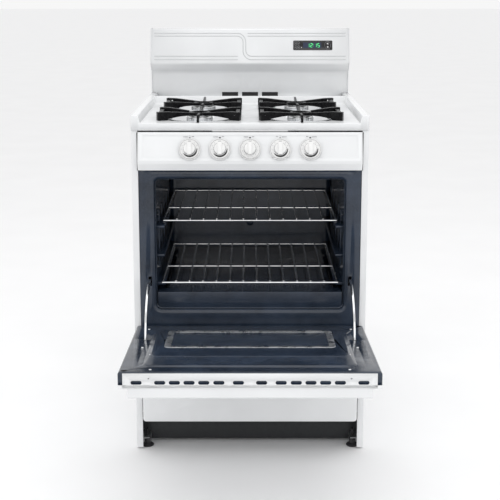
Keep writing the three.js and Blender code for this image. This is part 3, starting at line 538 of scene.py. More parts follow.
burners = {}
for row in ("front", "rear"):
    for side in ("left", "right"):
        low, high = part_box(f"burner_cap_{row}_{side}")
        burners[f"{row}_{side}"] = Vector(((low.x + high.x) / 2, (low.y + high.y) / 2, 0))
basin = max((f for f in cooktop.faces if abs(f.normal.z) > 0.9), key=lambda f: f.calc_area())
rims = []
for centre in burners.values():
    place = Matrix.Translation(centre + Vector((0, 0, basin_floor)))
    ring = bmesh.ops.create_circle(cooktop, cap_ends=False, segments=64, radius=hole_radius,
                                   matrix=place)["verts"]
    rims.append(list({e for v in ring for e in v.link_edges}))
punch(cooktop, basin, rims)
for ring in rims:
    lip = bmesh.ops.extrude_edge_only(cooktop, edges=ring)
    bmesh.ops.translate(cooktop, vec=(0, 0, -0.004), verts=verts_of(lip))
top_piece = fit("cooktop_pressing", cooktop, white_porcelain, "body", ["cooktop"])
thicken(top_piece, 0.0012)

# -------------------- drip bowls
# A bowl pressed from thin steel and chrome-plated hangs in each burner hole by its flat rim. It is open in
# the middle for the burner and catches what boils over.

bowl_chrome = chrome_plate("bowl_chrome", 0.1)
rim_z = basin_floor + 0.0004
for name, centre in burners.items():
    bowl = bmesh.new()
    profile = [(0.022, -0.0195), (0.0235, -0.0172), (0.026, -0.0185), (0.052, -0.0188), (0.060, -0.0178),
               (0.0675, -0.0145), (0.0745, -0.0095), (0.080, -0.0045), (0.0845, -0.001), (0.088, 0.0009),
               (0.093, 0.0011), (0.0962, 0.0007), (0.097, 0.0)]
    turned(bowl, profile, 72, Matrix.Translation(centre + Vector((0, 0, rim_z))))
    bowl_piece = fit("drip_bowl_pressing_" + name, bowl, bowl_chrome, "body",
                     ["drip_bowl_" + name])
    thicken(bowl_piece, -0.0005)

# -------------------- burners
# The head and its mixing tube are one aluminium casting. A crown of small teeth leaves the flame ports, and
# a loose aluminium cap lies on top.

burner_aluminium = finish("cast_aluminium", (0.6, 0.61, 0.62), 0.3, 1.0,
                          colour=("Noise", 30, 4, (0.5, 0.51, 0.52), (0.7, 0.71, 0.72), 0.3, 0.7),
                          gloss=("Noise", 80, 4, 0.2, 0.42, 0.3, 0.7), skin=[("Noise", 900, 3, 0.00006)])
dress(["burner_head_" + name for name in burners], burner_aluminium)
crown_radius = 0.0346
crown_teeth = 30
for name, centre in burners.items():
    low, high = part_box("burner_cap_" + name)
    place = Matrix.Translation(centre + Vector((0, 0, low.z)))
    crown = bmesh.new()
    turned(crown, [(0.030, -0.011), (crown_radius, -0.010), (crown_radius, -0.0055), (0.0342, -0.0052)], 64,
           place)
    for tooth in range(crown_teeth):
        around = Matrix.Rotation(2 * math.pi * tooth / crown_teeth, 4, "Z")
        shape = Matrix.Translation((0.0343, 0, -0.003)) @ Matrix.Diagonal((0.0016, 0.0046, 0.005, 1))
        bmesh.ops.create_cube(crown, size=1, matrix=place @ around @ shape)
    fit("burner_crown_" + name, crown, burner_aluminium, "body")
    cap = bmesh.new()
    turned(cap, [(0, 0), (0.034, 0), (0.035, 0.0006), (0.035, 0.0016), (0.0342, 0.0026), (0.031, 0.0042),
                 (0.027, 0.0047), (0.014, 0.0046), (0.012, 0.0052), (0.010, 0.0058), (0, 0.006)], 64, place)
    fit("burner_lid_" + name, cap, burner_aluminium, "body", ["burner_cap_" + name])

# -------------------- grates
# Cast iron under a glossy black enamel: four thick arms that thin towards the middle, a blade from front to
# back and a small ring. One arm is short, ends in a point and has a small hole near its foot.

grate_enamel = finish("grate_enamel", (0.004, 0.004, 0.005), 0.22,
                      colour=("Noise", 60, 4, (0.003, 0.003, 0.004), (0.010, 0.010, 0.011), 0.35, 0.7),
                      gloss=("Noise", 130, 4, 0.16, 0.4, 0.3, 0.7),
                      skin=[("Noise", 420, 4, 0.00008), ("Noise", 60, 2, 0.0003)])
grate_enamel.node_tree.nodes["Principled BSDF"].inputs["Specular IOR Level"].default_value = 0.12
for name in burners:
    grate = solid_of("grate_" + name)
    round_edges(grate, 0.0013, segments=3)
    fit("cast_grate_" + name, grate, grate_enamel, f"grate_{name}_body", ["grate_" + name])

# -------------------- control panel
# A white enamelled pan with rounded edges hooks over the front rail. Its sloping face is pressed in a
# little and carries small printed marks above each knob.


def across(mesh, outline, x_low, x_high):
    """A solid bar with an outline of (y, z) points, drawn out along X."""
    points = [mesh.verts.new((x_low, y, z)) for y, z in outline]
    face = mesh.faces.new(points)
    made = bmesh.ops.extrude_face_region(mesh, geom=[face])
    bmesh.ops.translate(mesh, vec=(x_high - x_low, 0, 0), verts=verts_of(made))
    bmesh.ops.recalc_face_normals(mesh, faces=mesh.faces)


panel_low, panel_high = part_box("control_panel")
panel_back = panel_high.y
fold_z = 0.792
panel = bmesh.new()
across(panel, [(panel_back, panel_low.z), (panel_low.y + 0.008, panel_low.z),
               (panel_low.y + 0.001, fold_z - 0.008), (panel_low.y + 0.0005, fold_z),
               (front_y - 0.003, panel_high.z), (panel_back, panel_high.z)], panel_low.x, panel_high.x)
ends = [e for e in panel.edges if len(e.link_faces) == 2 and abs(e.verts[0].co.x - e.verts[1].co.x) < 1e-6
        and abs(e.verts[0].co.z - e.verts[1].co.z) > 0.002
        and min(v.co.y for v in e.verts) < panel_back - 0.001]
bend(panel, ends, 0.005)
slope = max((f for f in panel.faces if f.normal.y < -0.5), key=lambda f: f.calc_area())
bmesh.ops.inset_region(panel, faces=[slope], thickness=0.009, depth=0)
bmesh.ops.inset_region(panel, faces=[slope], thickness=0.006, depth=-0.0022)
round_edges(panel, 0.0026, lambda e: abs((e.verts[0].co - e.verts[1].co).x) > 0.3
            and min(v.co.y for v in e.verts) < panel_back - 0.001, segments=5, sharp=8)
rear = [f for f in panel.faces if f.calc_center_median().y > panel_back - 0.0001 and abs(f.normal.y) > 0.9]
bmesh.ops.delete(panel, geom=rear, context="FACES")
thicken(fit("control_panel_pan", panel, white_porcelain, "body", ["control_panel"],
            crease=50), 0.0011)

# A thin black strip just behind the panel's edges is painted shade: it stands for the shadowed gap round the
# panel.
shade_in_panel_gap = bmesh.new()
gap_reach = 0.0028
box(shade_in_panel_gap, (panel_low.x - gap_reach, panel_high.x + gap_reach), (front_y - 0.0007, front_y - 0.0002),
    (panel_low.z - gap_reach, panel_high.z - 0.001), 0.0001)
fit("panel_gap_shade", shade_in_panel_gap, kick_paint_and_gap_shade, "body")

joints = {joint["name"]: joint for joint in frame["joints"]}


def on_panel(number):
    """Turns a piece drawn along +Z so that it points out of the sloping panel at a knob."""
    joint = joints[f"knob_turn_{number}"]
    out = Vector(joint["axis"])
    return Matrix.Translation(joint["pos_m"]) @ Matrix.Rotation(math.atan2(-out.y, out.z), 4, "X")


def ink_and_shade_finish(name, tone):
    grain = tuple(1.5 * c + 0.004 for c in tone)
    return finish(name, tone, 0.5, colour=("Noise", 900, 2, tone, grain, 0.4, 0.7),
                  skin=[("Noise", 1500, 1, 0.00001)])


# This flat black is print on the panel and painted shade elsewhere: the sheets behind the vents and air
# slots, and the screw recesses. It also colours the dark crescent under the burner knobs' grips.
black_ink_and_painted_shade = ink_and_shade_finish("black_ink_and_painted_shade", (0.006, 0.006, 0.007))
grey_ink = ink_and_shade_finish("grey_ink", (0.2, 0.2, 0.21))
ink_depth = 0.0002
face_sink = 0.0022
dots, dashes = bmesh.new(), bmesh.new()


def print_mark(mesh, place, x, v, z):
    before = set(mesh.verts)
    box(mesh, x, v, (z, z + ink_depth))
    set_new(mesh, before, place)


for number in range(1, 6):
    place = on_panel(number)
    raised = 0.037 if number in (1, 4) else 0.0305
    side = -1 if number < 4 else 1
    print_mark(dots, place, (-0.0021, 0.0021), (raised - 0.0019, raised + 0.0019), -face_sink + 0.0004)
    if number in (1, 4):
        print_mark(dashes, place, (-0.0017, 0.0017), (0.0292, 0.0322), -face_sink + 0.0003)
    for word in range(4):
        x = sorted((side * (0.005 + 0.003 * word), side * (0.0072 + 0.003 * word)))
        print_mark(dashes, place, x, (0.0322, 0.0338), -face_sink + 0.0003)
    for corner in range(4):
        x = 0.0016 * (1 if corner % 2 else -1) - side * 0.008
        v = 0.0355 + 0.0016 * (1 if corner // 2 else -1)
        print_mark(dashes, place, (x - 0.0009, x + 0.0009), (v - 0.0009, v + 0.0009), -face_sink + 0.0003)
fit("panel_index_marks", dots, black_ink_and_painted_shade, "body")
fit("panel_small_print", dashes, grey_ink, "body")

# -------------------- valves and thermostat
# Behind the panel, plated valve stems come out of brass valves on the gas pipe. The oven thermostat is a
# plated box with a thin tube to a bulb inside the oven. All keep their CAD shapes.

valve_brass = finish("valve_brass", (0.58, 0.42, 0.2), 0.35, 1.0,
                     colour=("Noise", 40, 4, (0.48, 0.34, 0.15), (0.64, 0.48, 0.25), 0.3, 0.7),
                     gloss=("Noise", 150, 4, 0.24, 0.48, 0.3, 0.7), skin=[("Noise", 700, 3, 0.00003)])
dress(["gas_manifold"], valve_brass)
dress(["oven_thermostat"] + [f"valve_stem_{number}" for number in range(1, 6)], bare_steel)

# -------------------- knobs
# A glossy white moulding pushed onto the flat of each stem: a thin skirt with printed marks, a fluted grip
# and a bar across it. The burner knobs have a black arc under the grip, the oven knob a ring of numbers.


def moulding(name, tone):
    return finish(name, tone, 0.22, colour=("Noise", 30, 3, darker(tone, 0.94), tone, 0.35, 0.65),
                  gloss=("Noise", 90, 4, 0.16, 0.32, 0.3, 0.7), skin=[("Noise", 1100, 2, 0.00003)])


knob_white = moulding("moulded_white", (0.8, 0.8, 0.795))
# The grey of the flutes is painted shade: it darkens the sides of the grip, which the light reaches less than
# its face.
grip_side_shade = moulding("grip_side_painted_shade", (0.3, 0.305, 0.31))
skirt_low, skirt_top, skirt_radius = 0.004, 0.008, 0.028
grip_top, grip_radius, bar_top = 0.023, 0.0155, 0.028


def crescent_band(mesh, place, radius, width, start, sweep, z):
    """A dark band round the knob, thin at both ends."""
    steps = 40
    for step in range(steps):
        share = (step + 0.5) / steps
        half = 0.5 * width * math.sin(math.pi * share) ** 0.5
        around = rotated(start + sweep * share, "Z")
        length = radius * math.radians(sweep) / steps * 1.15
        shape = Matrix.Translation((radius, 0, z)) @ Matrix.Diagonal((2 * half, length, ink_depth, 1))
        bmesh.ops.create_cube(mesh, size=1, matrix=place @ around @ shape)


def print_text(words, size, place, material, name, body):
    """Small printed figures, made a mesh and set in place."""
    curve = bpy.data.curves.new(name, "FONT")
    curve.body = words
    curve.size = size
    curve.align_x, curve.align_y = "CENTER", "CENTER"
    curve.extrude = ink_depth / 2
    curve.resolution_u = 2
    writer = bpy.data.objects.new(name + "_outline", curve)
    bpy.context.scene.collection.objects.link(writer)
    bpy.context.view_layer.update()
    flat = bpy.data.meshes.new_from_object(writer.evaluated_get(bpy.context.evaluated_depsgraph_get()))
    figures = bmesh.new()
    figures.from_mesh(flat)
    bmesh.ops.transform(figures, matrix=place, verts=figures.verts)
    bpy.data.objects.remove(writer)
    bpy.data.curves.remove(curve)
    bpy.data.meshes.remove(flat)
    return fit(name, figures, material, body)


for number in range(1, 6):
    place = on_panel(number)
    oven_knob = number == 3
    knob = bmesh.new()
    turned(knob, [(0, skirt_low), (skirt_radius - 0.0006, skirt_low), (skirt_radius, skirt_low + 0.0006),
                  (skirt_radius, skirt_low + 0.0022), (skirt_radius - 0.0006, skirt_low + 0.003),
                  (skirt_radius - 0.0016, skirt_low + 0.0027), (skirt_radius - 0.0024, skirt_top - 0.0004),
                  (grip_radius + 0.0012, skirt_top), (grip_radius + 0.0002, skirt_top + 0.001),
                  (grip_radius - 0.0008, grip_top - 0.0015), (grip_radius - 0.0022, grip_top - 0.0002),
                  (0, grip_top)], 72, place)
    bar_half = 0.0048 if oven_knob else 0.0056
    before = set(knob.verts)
    box(knob, (-bar_half, bar_half), (-grip_radius - 0.0005, grip_radius + 0.0005), (skirt_top, bar_top),
        0.0016)
    set_new(knob, before, place)
    fit(f"knob_moulding_{number}", knob, knob_white, f"dial_{number}", [f"knob_{number}"])
    # Grey flutes round the grip, coloured as painted shade on its sides.
    flutes = bmesh.new()
    for flute in range(22):
        turn = math.radians(360 / 22 * flute + 8)
        x, v = (grip_radius - 0.0006) * math.cos(turn), (grip_radius - 0.0006) * math.sin(turn)
        if abs(x) > bar_half + 0.001:
            rod(flutes, (x, v, skirt_top + 0.0005), (x * 0.965, v * 0.965, grip_top - 0.0012), 0.0013, 8)
    bmesh.ops.transform(flutes, matrix=place, verts=flutes.verts)
    fit(f"knob_grip_flutes_{number}", flutes, grip_side_shade, f"dial_{number}")
    marks = bmesh.new()
    print_z = skirt_top - 0.0001
    top_mark = place @ Matrix.Translation((0, 0.0205, 0))
    if oven_knob:
        for tick in range(27):
            spoke = place @ rotated(48 + 10.2 * tick, "Z")
            long = 0.0026 if tick % 3 == 0 else 0.0014
            print_mark(marks, spoke, (0.0245 - long, 0.0245), (-0.00025, 0.00025), print_z - 0.0003)
        for index, figure in enumerate("123456789"):
            turn = math.radians(48 - 30.6 * index)
            spot = place @ Matrix.Translation((0.0197 * math.cos(turn), 0.0197 * math.sin(turn), print_z))
            print_text(figure, 0.0036, spot @ Matrix.Rotation(turn - math.pi / 2, 4, "Z"), grey_ink,
                       f"oven_figure_{figure}", "dial_3")
    else:
        for turn in (0, 25, 50, 130, 155, 180):
            spoke = place @ rotated(turn, "Z")
            print_mark(marks, spoke, (0.0195, 0.0222), (-0.0004, 0.0004), print_z - 0.0002)
        arc = bmesh.new()
        crescent_band(arc, place, 0.0186, 0.0042, 215, 150, print_z + 0.0002)
        fit(f"knob_dark_crescent_{number}", arc, black_ink_and_painted_shade, f"dial_{number}")
    turned(marks, [(0.0247, print_z - 0.0006), (0.0247, print_z + 0.0001), (0.0254, print_z + 0.0001),
                   (0.0254, print_z - 0.0006)], 72, place)
    for dash in (-1, 0, 1):
        print_mark(marks, top_mark, (0.0026 * dash - 0.001, 0.0026 * dash + 0.001), (-0.0009, 0.0009),
                   print_z)
    fit(f"knob_print_{number}", marks, grey_ink, f"dial_{number}")

# -------------------- backguard
# A folded box of white enamelled steel stands behind the cooktop. Its upper face leans back and has pressed
# lines, one pair turning down in an S; three vents at its foot let out the oven's air. Plastic caps close
# the ends.

guard_low, guard_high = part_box("backguard")
guard_foot_y = front_y + 0.632
guard_nose_y, guard_nose_z = guard_low.y, guard_high.z - 0.107
guard_step_z = guard_high.z - 0.134
guard_top_y, guard_top_z = front_y + 0.626, guard_high.z - 0.0015
cap_depth = 0.0025
outline = [(guard_foot_y, guard_low.z), (guard_foot_y, guard_step_z), (guard_nose_y, guard_nose_z),
           (guard_top_y, guard_top_z), (guard_high.y, guard_top_z), (guard_high.y, guard_low.z)]
guard = bmesh.new()
sheet_through(guard, [[(x, y, z) for y, z in outline]
                      for x in (guard_low.x + cap_depth, guard_high.x - cap_depth)])
folds = [e for e in guard.edges if len(e.link_faces) == 2]
bend(guard, folds, 0.005)
vent_low, vent_high = 0.890, 0.906
for vent in (-1, 0, 1):
    cut_window(guard, (0.062 * vent - 0.025, guard_foot_y - 0.001, vent_low),
               (0.062 * vent + 0.025, guard_foot_y + 0.001, vent_high))
for slit in range(5):
    z = guard_high.z - 0.080 + 0.012 * slit
    cut_window(guard, (-0.100, guard_high.y - 0.001, z), (0.100, guard_high.y + 0.001, z + 0.004))
thicken(fit("backguard_shell", guard, white_porcelain, "body", ["backguard"]), 0.0012)

# A black sheet behind the vents is painted shade: it makes the vents read dark.
shade_behind_vents = bmesh.new()
box(shade_behind_vents, (-0.11, 0.11), (guard_foot_y + 0.006, guard_foot_y + 0.007), (vent_low - 0.01, vent_high + 0.03))
fit("backguard_vent_shade", shade_behind_vents, black_ink_and_painted_shade, "body")

guard_lean = math.atan2(guard_top_y - guard_nose_y, guard_top_z - guard_nose_z)


def on_guard(x, z):
    """The place on the leaning face at a height, with +Z out of the face and +Y up it."""
    y = guard_nose_y + math.tan(guard_lean) * (z - guard_nose_z)
    return Matrix.Translation((x, y, z)) @ Matrix.Rotation(math.radians(90) - guard_lean, 4, "X")


def pressed_line(mesh, points):
    radius = 0.0011
    spots = [on_guard(x, z).translation for x, z in points]
    for near, far in zip(spots, spots[1:]):
        rod(mesh, near, far, radius, 10)
    for spot in spots:
        bead(mesh, spot, radius)


def arc_points(x, z, radius, start, end, steps=8):
    """Points along part of a circle, its angles in degrees."""
    turns = [math.radians(start + (end - start) * step / steps) for step in range(steps + 1)]
    return [(x + radius * math.cos(turn), z + radius * math.sin(turn)) for turn in turns]


line_left, line_right = guard_low.x + 0.012, guard_high.x - 0.012
top_line, bottom_line = 1.0875, 1.0185
lines = bmesh.new()
for offset, turn_x in ((0.0, -0.013), (0.0085, -0.0215)):
    high_z, low_z = top_line - offset, bottom_line - 0.0105 * (offset > 0)
    over, under = 0.026 - offset, 0.018 + offset
    path = [(line_left, high_z)] + arc_points(turn_x - over, high_z - over, over, 90, 0)
    path += arc_points(turn_x + under, low_z + under, under, 180, 270) + [(line_right, low_z)]
    pressed_line(lines, path)
    pressed_line(lines, [(-0.006, high_z), (line_right, high_z)])
    pressed_line(lines, [(line_left, low_z), (-0.038, low_z)])
# The beads of the pressed lines are grey: painted shade standing for the shading along each embossed line.
pressed_line_shade = porcelain("pressed_line_shade", (0.56, 0.57, 0.58))
fit("backguard_pressed_lines", lines, pressed_line_shade, "body")


cap_tone = (0.66, 0.67, 0.68)
cap_grey = finish("end_cap_plastic", cap_tone, 0.4,
                  colour=("Noise", 40, 3, darker(cap_tone, 0.94), cap_tone, 0.35, 0.65),
                  gloss=("Noise", 120, 3, 0.34, 0.5, 0.3, 0.7), skin=[("Noise", 1400, 2, 0.00004)])
for side in (-1, 1):
    caps = bmesh.new()
    x_in, x_out = sorted((side * (guard_high.x - cap_depth - 0.0005), side * (guard_high.x + 0.0008)))
    across(caps, [(guard_foot_y - 0.001, guard_low.z), (guard_foot_y - 0.001, guard_step_z),
                  (guard_nose_y, guard_nose_z), (guard_top_y - 0.001, guard_high.z),
                  (guard_high.y, guard_high.z), (guard_high.y, guard_low.z)], x_in, x_out)
    round_edges(caps, 0.001, segments=2)
    fit("backguard_end_cap_" + ("left" if side < 0 else "right"), caps, cap_grey, "body")

# -------------------- clock
# A printed black membrane over a green digital display, on a module clipped behind the face. Four small
# keys are on the left, and an up and a down key in an outline on the right.


def lit(name, tone, strength):
    material = finish(name, darker(tone, 0.4), 0.4, gloss=("Noise", 300, 2, 0.3, 0.5))
    shader = material.node_tree.nodes["Principled BSDF"]
    shader.inputs["Emission Color"].default_value = (*tone, 1)
    shader.inputs["Emission Strength"].default_value = strength
    return material


membrane = finish("clock_membrane", (0.004, 0.004, 0.005), 0.08,
                  colour=("Noise", 20, 3, (0.003, 0.003, 0.004), (0.008, 0.008, 0.009), 0.35, 0.65),
                  gloss=("Noise", 60, 5, 0.06, 0.2, 0.35, 0.75), skin=[("Noise", 700, 2, 0.00001)])
clock_x, clock_z, clock_half_x, clock_half_v = 0.193, 1.051, 0.060, 0.015
clock_place = on_guard(clock_x, clock_z)
clock_out = 0.001
plate = bmesh.new()
bmesh.ops.create_cube(plate, size=1, matrix=Matrix.Diagonal((2 * clock_half_x, 2 * clock_half_v, 0.003, 1)))
corners = [e for e in plate.edges if abs((e.verts[0].co - e.verts[1].co).z) > 0.002]
bend(plate, corners, 0.003)
round_edges(plate, 0.0004, segments=2, sharp=60)
bmesh.ops.transform(plate, matrix=clock_place @ Matrix.Translation((0, 0, clock_out - 0.0015)),
                    verts=plate.verts)
fit("clock_membrane_plate", plate, membrane, "body", ["clock_lens"])
dress(["clock_module"], foot_nylon)

tint = bmesh.new()
print_mark(tint, clock_place, (-0.030, 0.026), (-0.0085, 0.0085), clock_out - 0.0001)
fit("clock_window", tint, lit("display_blue", (0.004, 0.014, 0.05), 0.6), "body")

segments = {"1": "bc", "2": "abged", "0": "abcdef", "5": "afgcd"}
digit_half, digit_height, bar_width = 0.0032, 0.0056, 0.0012
lamps = bmesh.new()
for position, figure in zip((-0.0145, -0.0045, 0.0075, 0.0175), "1215"):
    for key in segments[figure]:
        along = key in "agd"
        x = position + {"b": digit_half, "c": digit_half, "e": -digit_half, "f": -digit_half}.get(key, 0)
        v = {"a": 1, "b": 0.5, "c": -0.5, "d": -1, "e": -0.5, "f": 0.5, "g": 0}[key] * digit_height
        half_x = digit_half * 0.78 if along else bar_width / 2
        half_v = bar_width / 2 if along else digit_height * 0.42
        print_mark(lamps, clock_place, (x - half_x, x + half_x), (v - half_v, v + half_v),
                   clock_out + 0.0001)
for v in (-0.0025, 0.0025):
    print_mark(lamps, clock_place, (0.0008, 0.0020), (v - 0.0006, v + 0.0006), clock_out + 0.0001)
fit("clock_digits", lamps, lit("display_green", (0.08, 0.75, 0.2), 1.6), "body")

keys = bmesh.new()


def key_outline(x, v, half_x, half_v):
    sides = 8
    before = set(keys.verts)
    turns = [math.pi * (2 * corner + 1) / sides for corner in range(sides)]
    ring = [Vector((half_x * math.cos(turn), half_v * math.sin(turn), 0)) for turn in turns]
    for near, far in zip(ring, ring[1:] + ring[:1]):
        rod(keys, near, far, 0.0003, 6)
    set_new(keys, before, clock_place @ Matrix.Translation((x, v, clock_out)))


for x in (-0.0535, -0.0445):
    for v in (-0.0062, 0.0062):
        key_outline(x, v, 0.0044, 0.0056)
        print_mark(keys, clock_place, (x - 0.0018, x + 0.0018), (v - 0.0014, v - 0.0006), clock_out)
        print_mark(keys, clock_place, (x - 0.0012, x + 0.0012), (v + 0.0006, v + 0.0014), clock_out)
key_outline(0.0455, 0.0, 0.0095, 0.0125)
# The key print is given a faint glow: painted brightness, since printed ink gives no light.
fit("clock_key_print", keys, lit("key_print_painted_glow", (0.5, 0.5, 0.52), 0.15), "body")
arrows = bmesh.new()
for way in (-1, 1):
    tip = Matrix.Translation((0.0455, 0.0050 * way, clock_out))
    bmesh.ops.create_cone(arrows, cap_ends=True, segments=3, radius1=0.0036, radius2=0.0036, depth=ink_depth,
                          matrix=clock_place @ tip @ rotated(90 * way, "Z"))
print_mark(arrows, clock_place, (-0.0362, -0.0338), (-0.0078, -0.0054), clock_out)
# The arrows glow a little too: painted brightness on printed ink.
fit("clock_arrows", arrows, lit("arrow_print_painted_glow", (0.85, 0.85, 0.85), 0.3), "body")

# -------------------- oven door, outer panel
# The outer skin is a white enamelled pan, folded back along its edges, with a strip over its top edge in
# which fourteen air slots are punched. It is made as if the door stood shut, then laid open on its hinge.

hinge = joints["door_hinge"]
door_open = Matrix.Translation(hinge["pos_m"]) @ rotated(hinge["range_deg"][1], "X")
door_half, door_low, door_high = 0.298, -0.014, 0.4292
band_half = 0.287
door_in, door_out = 0.018, -0.021


def hang(mesh):
    bmesh.ops.transform(mesh, matrix=door_open, verts=mesh.verts)
    return mesh


skin = bmesh.new()
chain = [(door_out, door_high), (door_out, door_low), (door_out + 0.009, door_low)]
sheet_through(skin, [[(x, y, z) for y, z in chain] for x in (-door_half, door_half)])
face_edges = [e for e in skin.edges if len(e.link_faces) == 1
              and all(abs(v.co.y - door_out) < 1e-6 for v in e.verts)]
returns = bmesh.ops.extrude_edge_only(skin, edges=face_edges)
bmesh.ops.translate(skin, vec=(0, 0.009, 0), verts=verts_of(returns))
round_edges(skin, 0.0024, segments=5)
window_half, window_low, window_high = 0.197, 0.093, 0.240
cut_window(skin, (-window_half, door_out - 0.001, window_low), (window_half, door_out + 0.001, window_high))
thicken(fit("door_outer_pan", hang(skin), white_porcelain, "door", ["door_outer_panel"]),
        0.0012)

strip = bmesh.new()
chain = [(door_in - 0.003, door_high - 0.004), (door_in - 0.003, door_high), (door_out + 0.0003, door_high),
         (door_out + 0.0003, door_high - 0.012)]
sheet_through(strip, [[(x, y, z) for y, z in chain] for x in (-band_half, band_half)])
round_edges(strip, 0.002, segments=5)
band = max((f for f in strip.faces if abs(f.normal.z) > 0.9), key=lambda f: f.calc_area())
slot_half, slot_y = 0.0125, (-0.0105, -0.0015)
slot_places = (0.026, 0.070, 0.104, 0.137, 0.170, 0.203, 0.256)
rings = [rounded_loop(strip, (side * x - slot_half, side * x + slot_half), slot_y, 0.0044,
                      Matrix.Translation((0, 0, door_high)), 6)
         for side in (-1, 1) for x in slot_places]
punch(strip, band, rings)
thicken(fit("door_slotted_strip", hang(strip), white_porcelain, "door"), 0.0010)

# A black sheet just under the slotted strip is painted shade: it makes the air slots read dark.
shade = bmesh.new()
box(shade, (-0.275, 0.275), (door_out + 0.004, door_in - 0.005), (door_high - 0.0035, door_high - 0.0028))
fit("door_slot_shade", hang(shade), black_ink_and_painted_shade, "door")

# -------------------- oven door, liner
# The inside of the door is one dark enamelled pressing with rounded edges. Its middle stands proud to fit the
# oven mouth, sloping away towards the top edge, and the window is let into it.


def door_loop(mesh, half, z, y, radius):
    return rounded_loop(mesh, (-half, half), z, radius, standing(y))


plug_half, plug_low, plug_high, plug_top = 0.243, 0.062, 0.386, door_in + 0.008
liner = bmesh.new()
loops = [door_loop(liner, door_half, (door_low, door_high - 0.0015), door_out + 0.0095, 0.003)]
edge_roll = 0.006
for step in range(6):
    turn = math.radians(90 * step / 5)
    draw = edge_roll * (1 - math.cos(turn))
    loops.append(door_loop(liner, door_half - draw, (door_low + draw, door_high - 0.0015 - draw),
                           door_in - edge_roll * (1 - math.sin(turn)), 0.003 + draw))
pressing = [(0.0035, 0), (0.001, 0.0006), (-0.001, 0.0022), (-0.003, 0.0030)]
for grow, rise in pressing:
    loops.append(door_loop(liner, plug_half + grow, (plug_low - grow, plug_high + grow), door_in + rise,
                           0.024 + grow))
slope_end = 0.322
for grow, rise in ((-0.0075, 0.0062), (-0.009, 0.0072), (-0.012, 0.0080)):
    loops.append(door_loop(liner, plug_half + grow, (plug_low - grow, slope_end + 0.009 + grow),
                           door_in + rise, 0.018 + grow / 2))
for half_grow, y in ((0.0035, plug_top), (0.001, plug_top - 0.0008), (0, plug_top - 0.003),
                     (0, door_out + 0.006)):
    loops.append(door_loop(liner, window_half + half_grow, (window_low - half_grow, window_high + half_grow),
                           y, 0.004 + half_grow))
wall_between(liner, loops)
slot_low, slot_high = 0.1265, 0.1475
for side in (-1, 1):
    low = (side * arm_x - arm_slot_half, door_in - 0.001, slot_low)
    high = (side * arm_x + arm_slot_half, door_in + 0.001, slot_high)
    cut_window(liner, low, high)
liner_piece = fit("door_liner_pressing", hang(liner), dark_enamel, "door", ["door_liner"])
thicken(liner_piece, 0.0010)

bright_zinc = chrome_plate("bright_zinc", 0.3)


def screw(heads, recess_shade_marks, place, radius):
    """A pan-head screw with a cross recess, shown as a black cross on the head: painted shade in the hollow.
    """
    dome = [(0, radius * 0.5), (radius * 0.45, radius * 0.48), (radius * 0.8, radius * 0.32), (radius, 0)]
    turned(heads, dome, 24, place)
    for turn in (20, 110):
        cross = rotated(turn, "Z") @ Matrix.Translation((0, 0, radius * 0.47))
        shape = Matrix.Diagonal((radius * 1.05, radius * 0.2, radius * 0.12, 1))
        bmesh.ops.create_cube(recess_shade_marks, size=1, matrix=place @ cross @ shape)


inward = rotated(-90, "X")
screw_places = ((0.234, 0.304, 0.0066), (0.226, 0.407, 0), (arm_x, 0.215, 0), (arm_x, 0.032, 0))
heads, recess_shade_marks = bmesh.new(), bmesh.new()
for side in (-1, 1):
    for x, z, rise in screw_places:
        screw(heads, recess_shade_marks, Matrix.Translation((side * x, door_in + rise, z)) @ inward, 0.0034)
    screw(heads, recess_shade_marks, Matrix.Translation((side * 0.228, 0.0038, door_high - 0.0015)), 0.0042)
fit("door_screws", hang(heads), bright_zinc, "door")
# The black crosses are painted shade in the screw recesses.
fit("door_screw_recess_shade", hang(recess_shade_marks), black_ink_and_painted_shade, "door")

# -------------------- oven door, window
# A pressed steel frame clamps a clear inner pane into the liner. The outer pane is dark tinted glass, let
# into the outer skin.


def pane_glass(name, tone, clear):
    material = finish(name, tone, 0.03, colour=("Noise", 8, 3, darker(tone, 0.9), tone, 0.35, 0.65),
                      gloss=("Noise", 30, 5, 0.02, 0.12, 0.45, 0.8), skin=[("Noise", 14, 1, 0.00008)])
    shader = material.node_tree.nodes["Principled BSDF"]
    shader.inputs["Transmission Weight"].default_value = clear
    shader.inputs["IOR"].default_value = 1.5
    return material


frame_reach = 0.010
rim = bmesh.new()
loops = [door_loop(rim, window_half + grow, (window_low - grow, window_high + grow), plug_top + rise,
                   0.008 + grow / 2)
         for grow, rise in ((frame_reach, 0.0003), (frame_reach - 0.0002, 0.0014),
                            (frame_reach - 0.0012, 0.0020), (-0.003, 0.0018), (-0.005, 0.0010),
                            (-0.006, -0.0002), (-0.006, -0.0030))]
wall_between(rim, loops)
thicken(fit("window_rim", hang(rim), bright_zinc, "door", ["window_frame"]), 0.0006)

clear_glass = pane_glass("clear_pane", (0.55, 0.6, 0.58), 0.9)
dark_glass = pane_glass("tinted_pane", (0.012, 0.014, 0.015), 0.0)
for name, y, glass in (("inner", plug_top - 0.0036, clear_glass), ("outer", door_out + 0.0005, dark_glass)):
    pane = bmesh.new()
    box(pane, (-window_half + 0.0003, window_half - 0.0003), (y, y + 0.0035),
        (window_low + 0.0003, window_high - 0.0003), 0.0005)
    fit(f"window_pane_{name}", hang(pane), glass, "door", [f"window_glass_{name}"])

# -------------------- oven door, handle
# The handle is one folded strip of white enamelled steel across nearly the whole door, screwed on from
# inside, with room behind it for fingers.

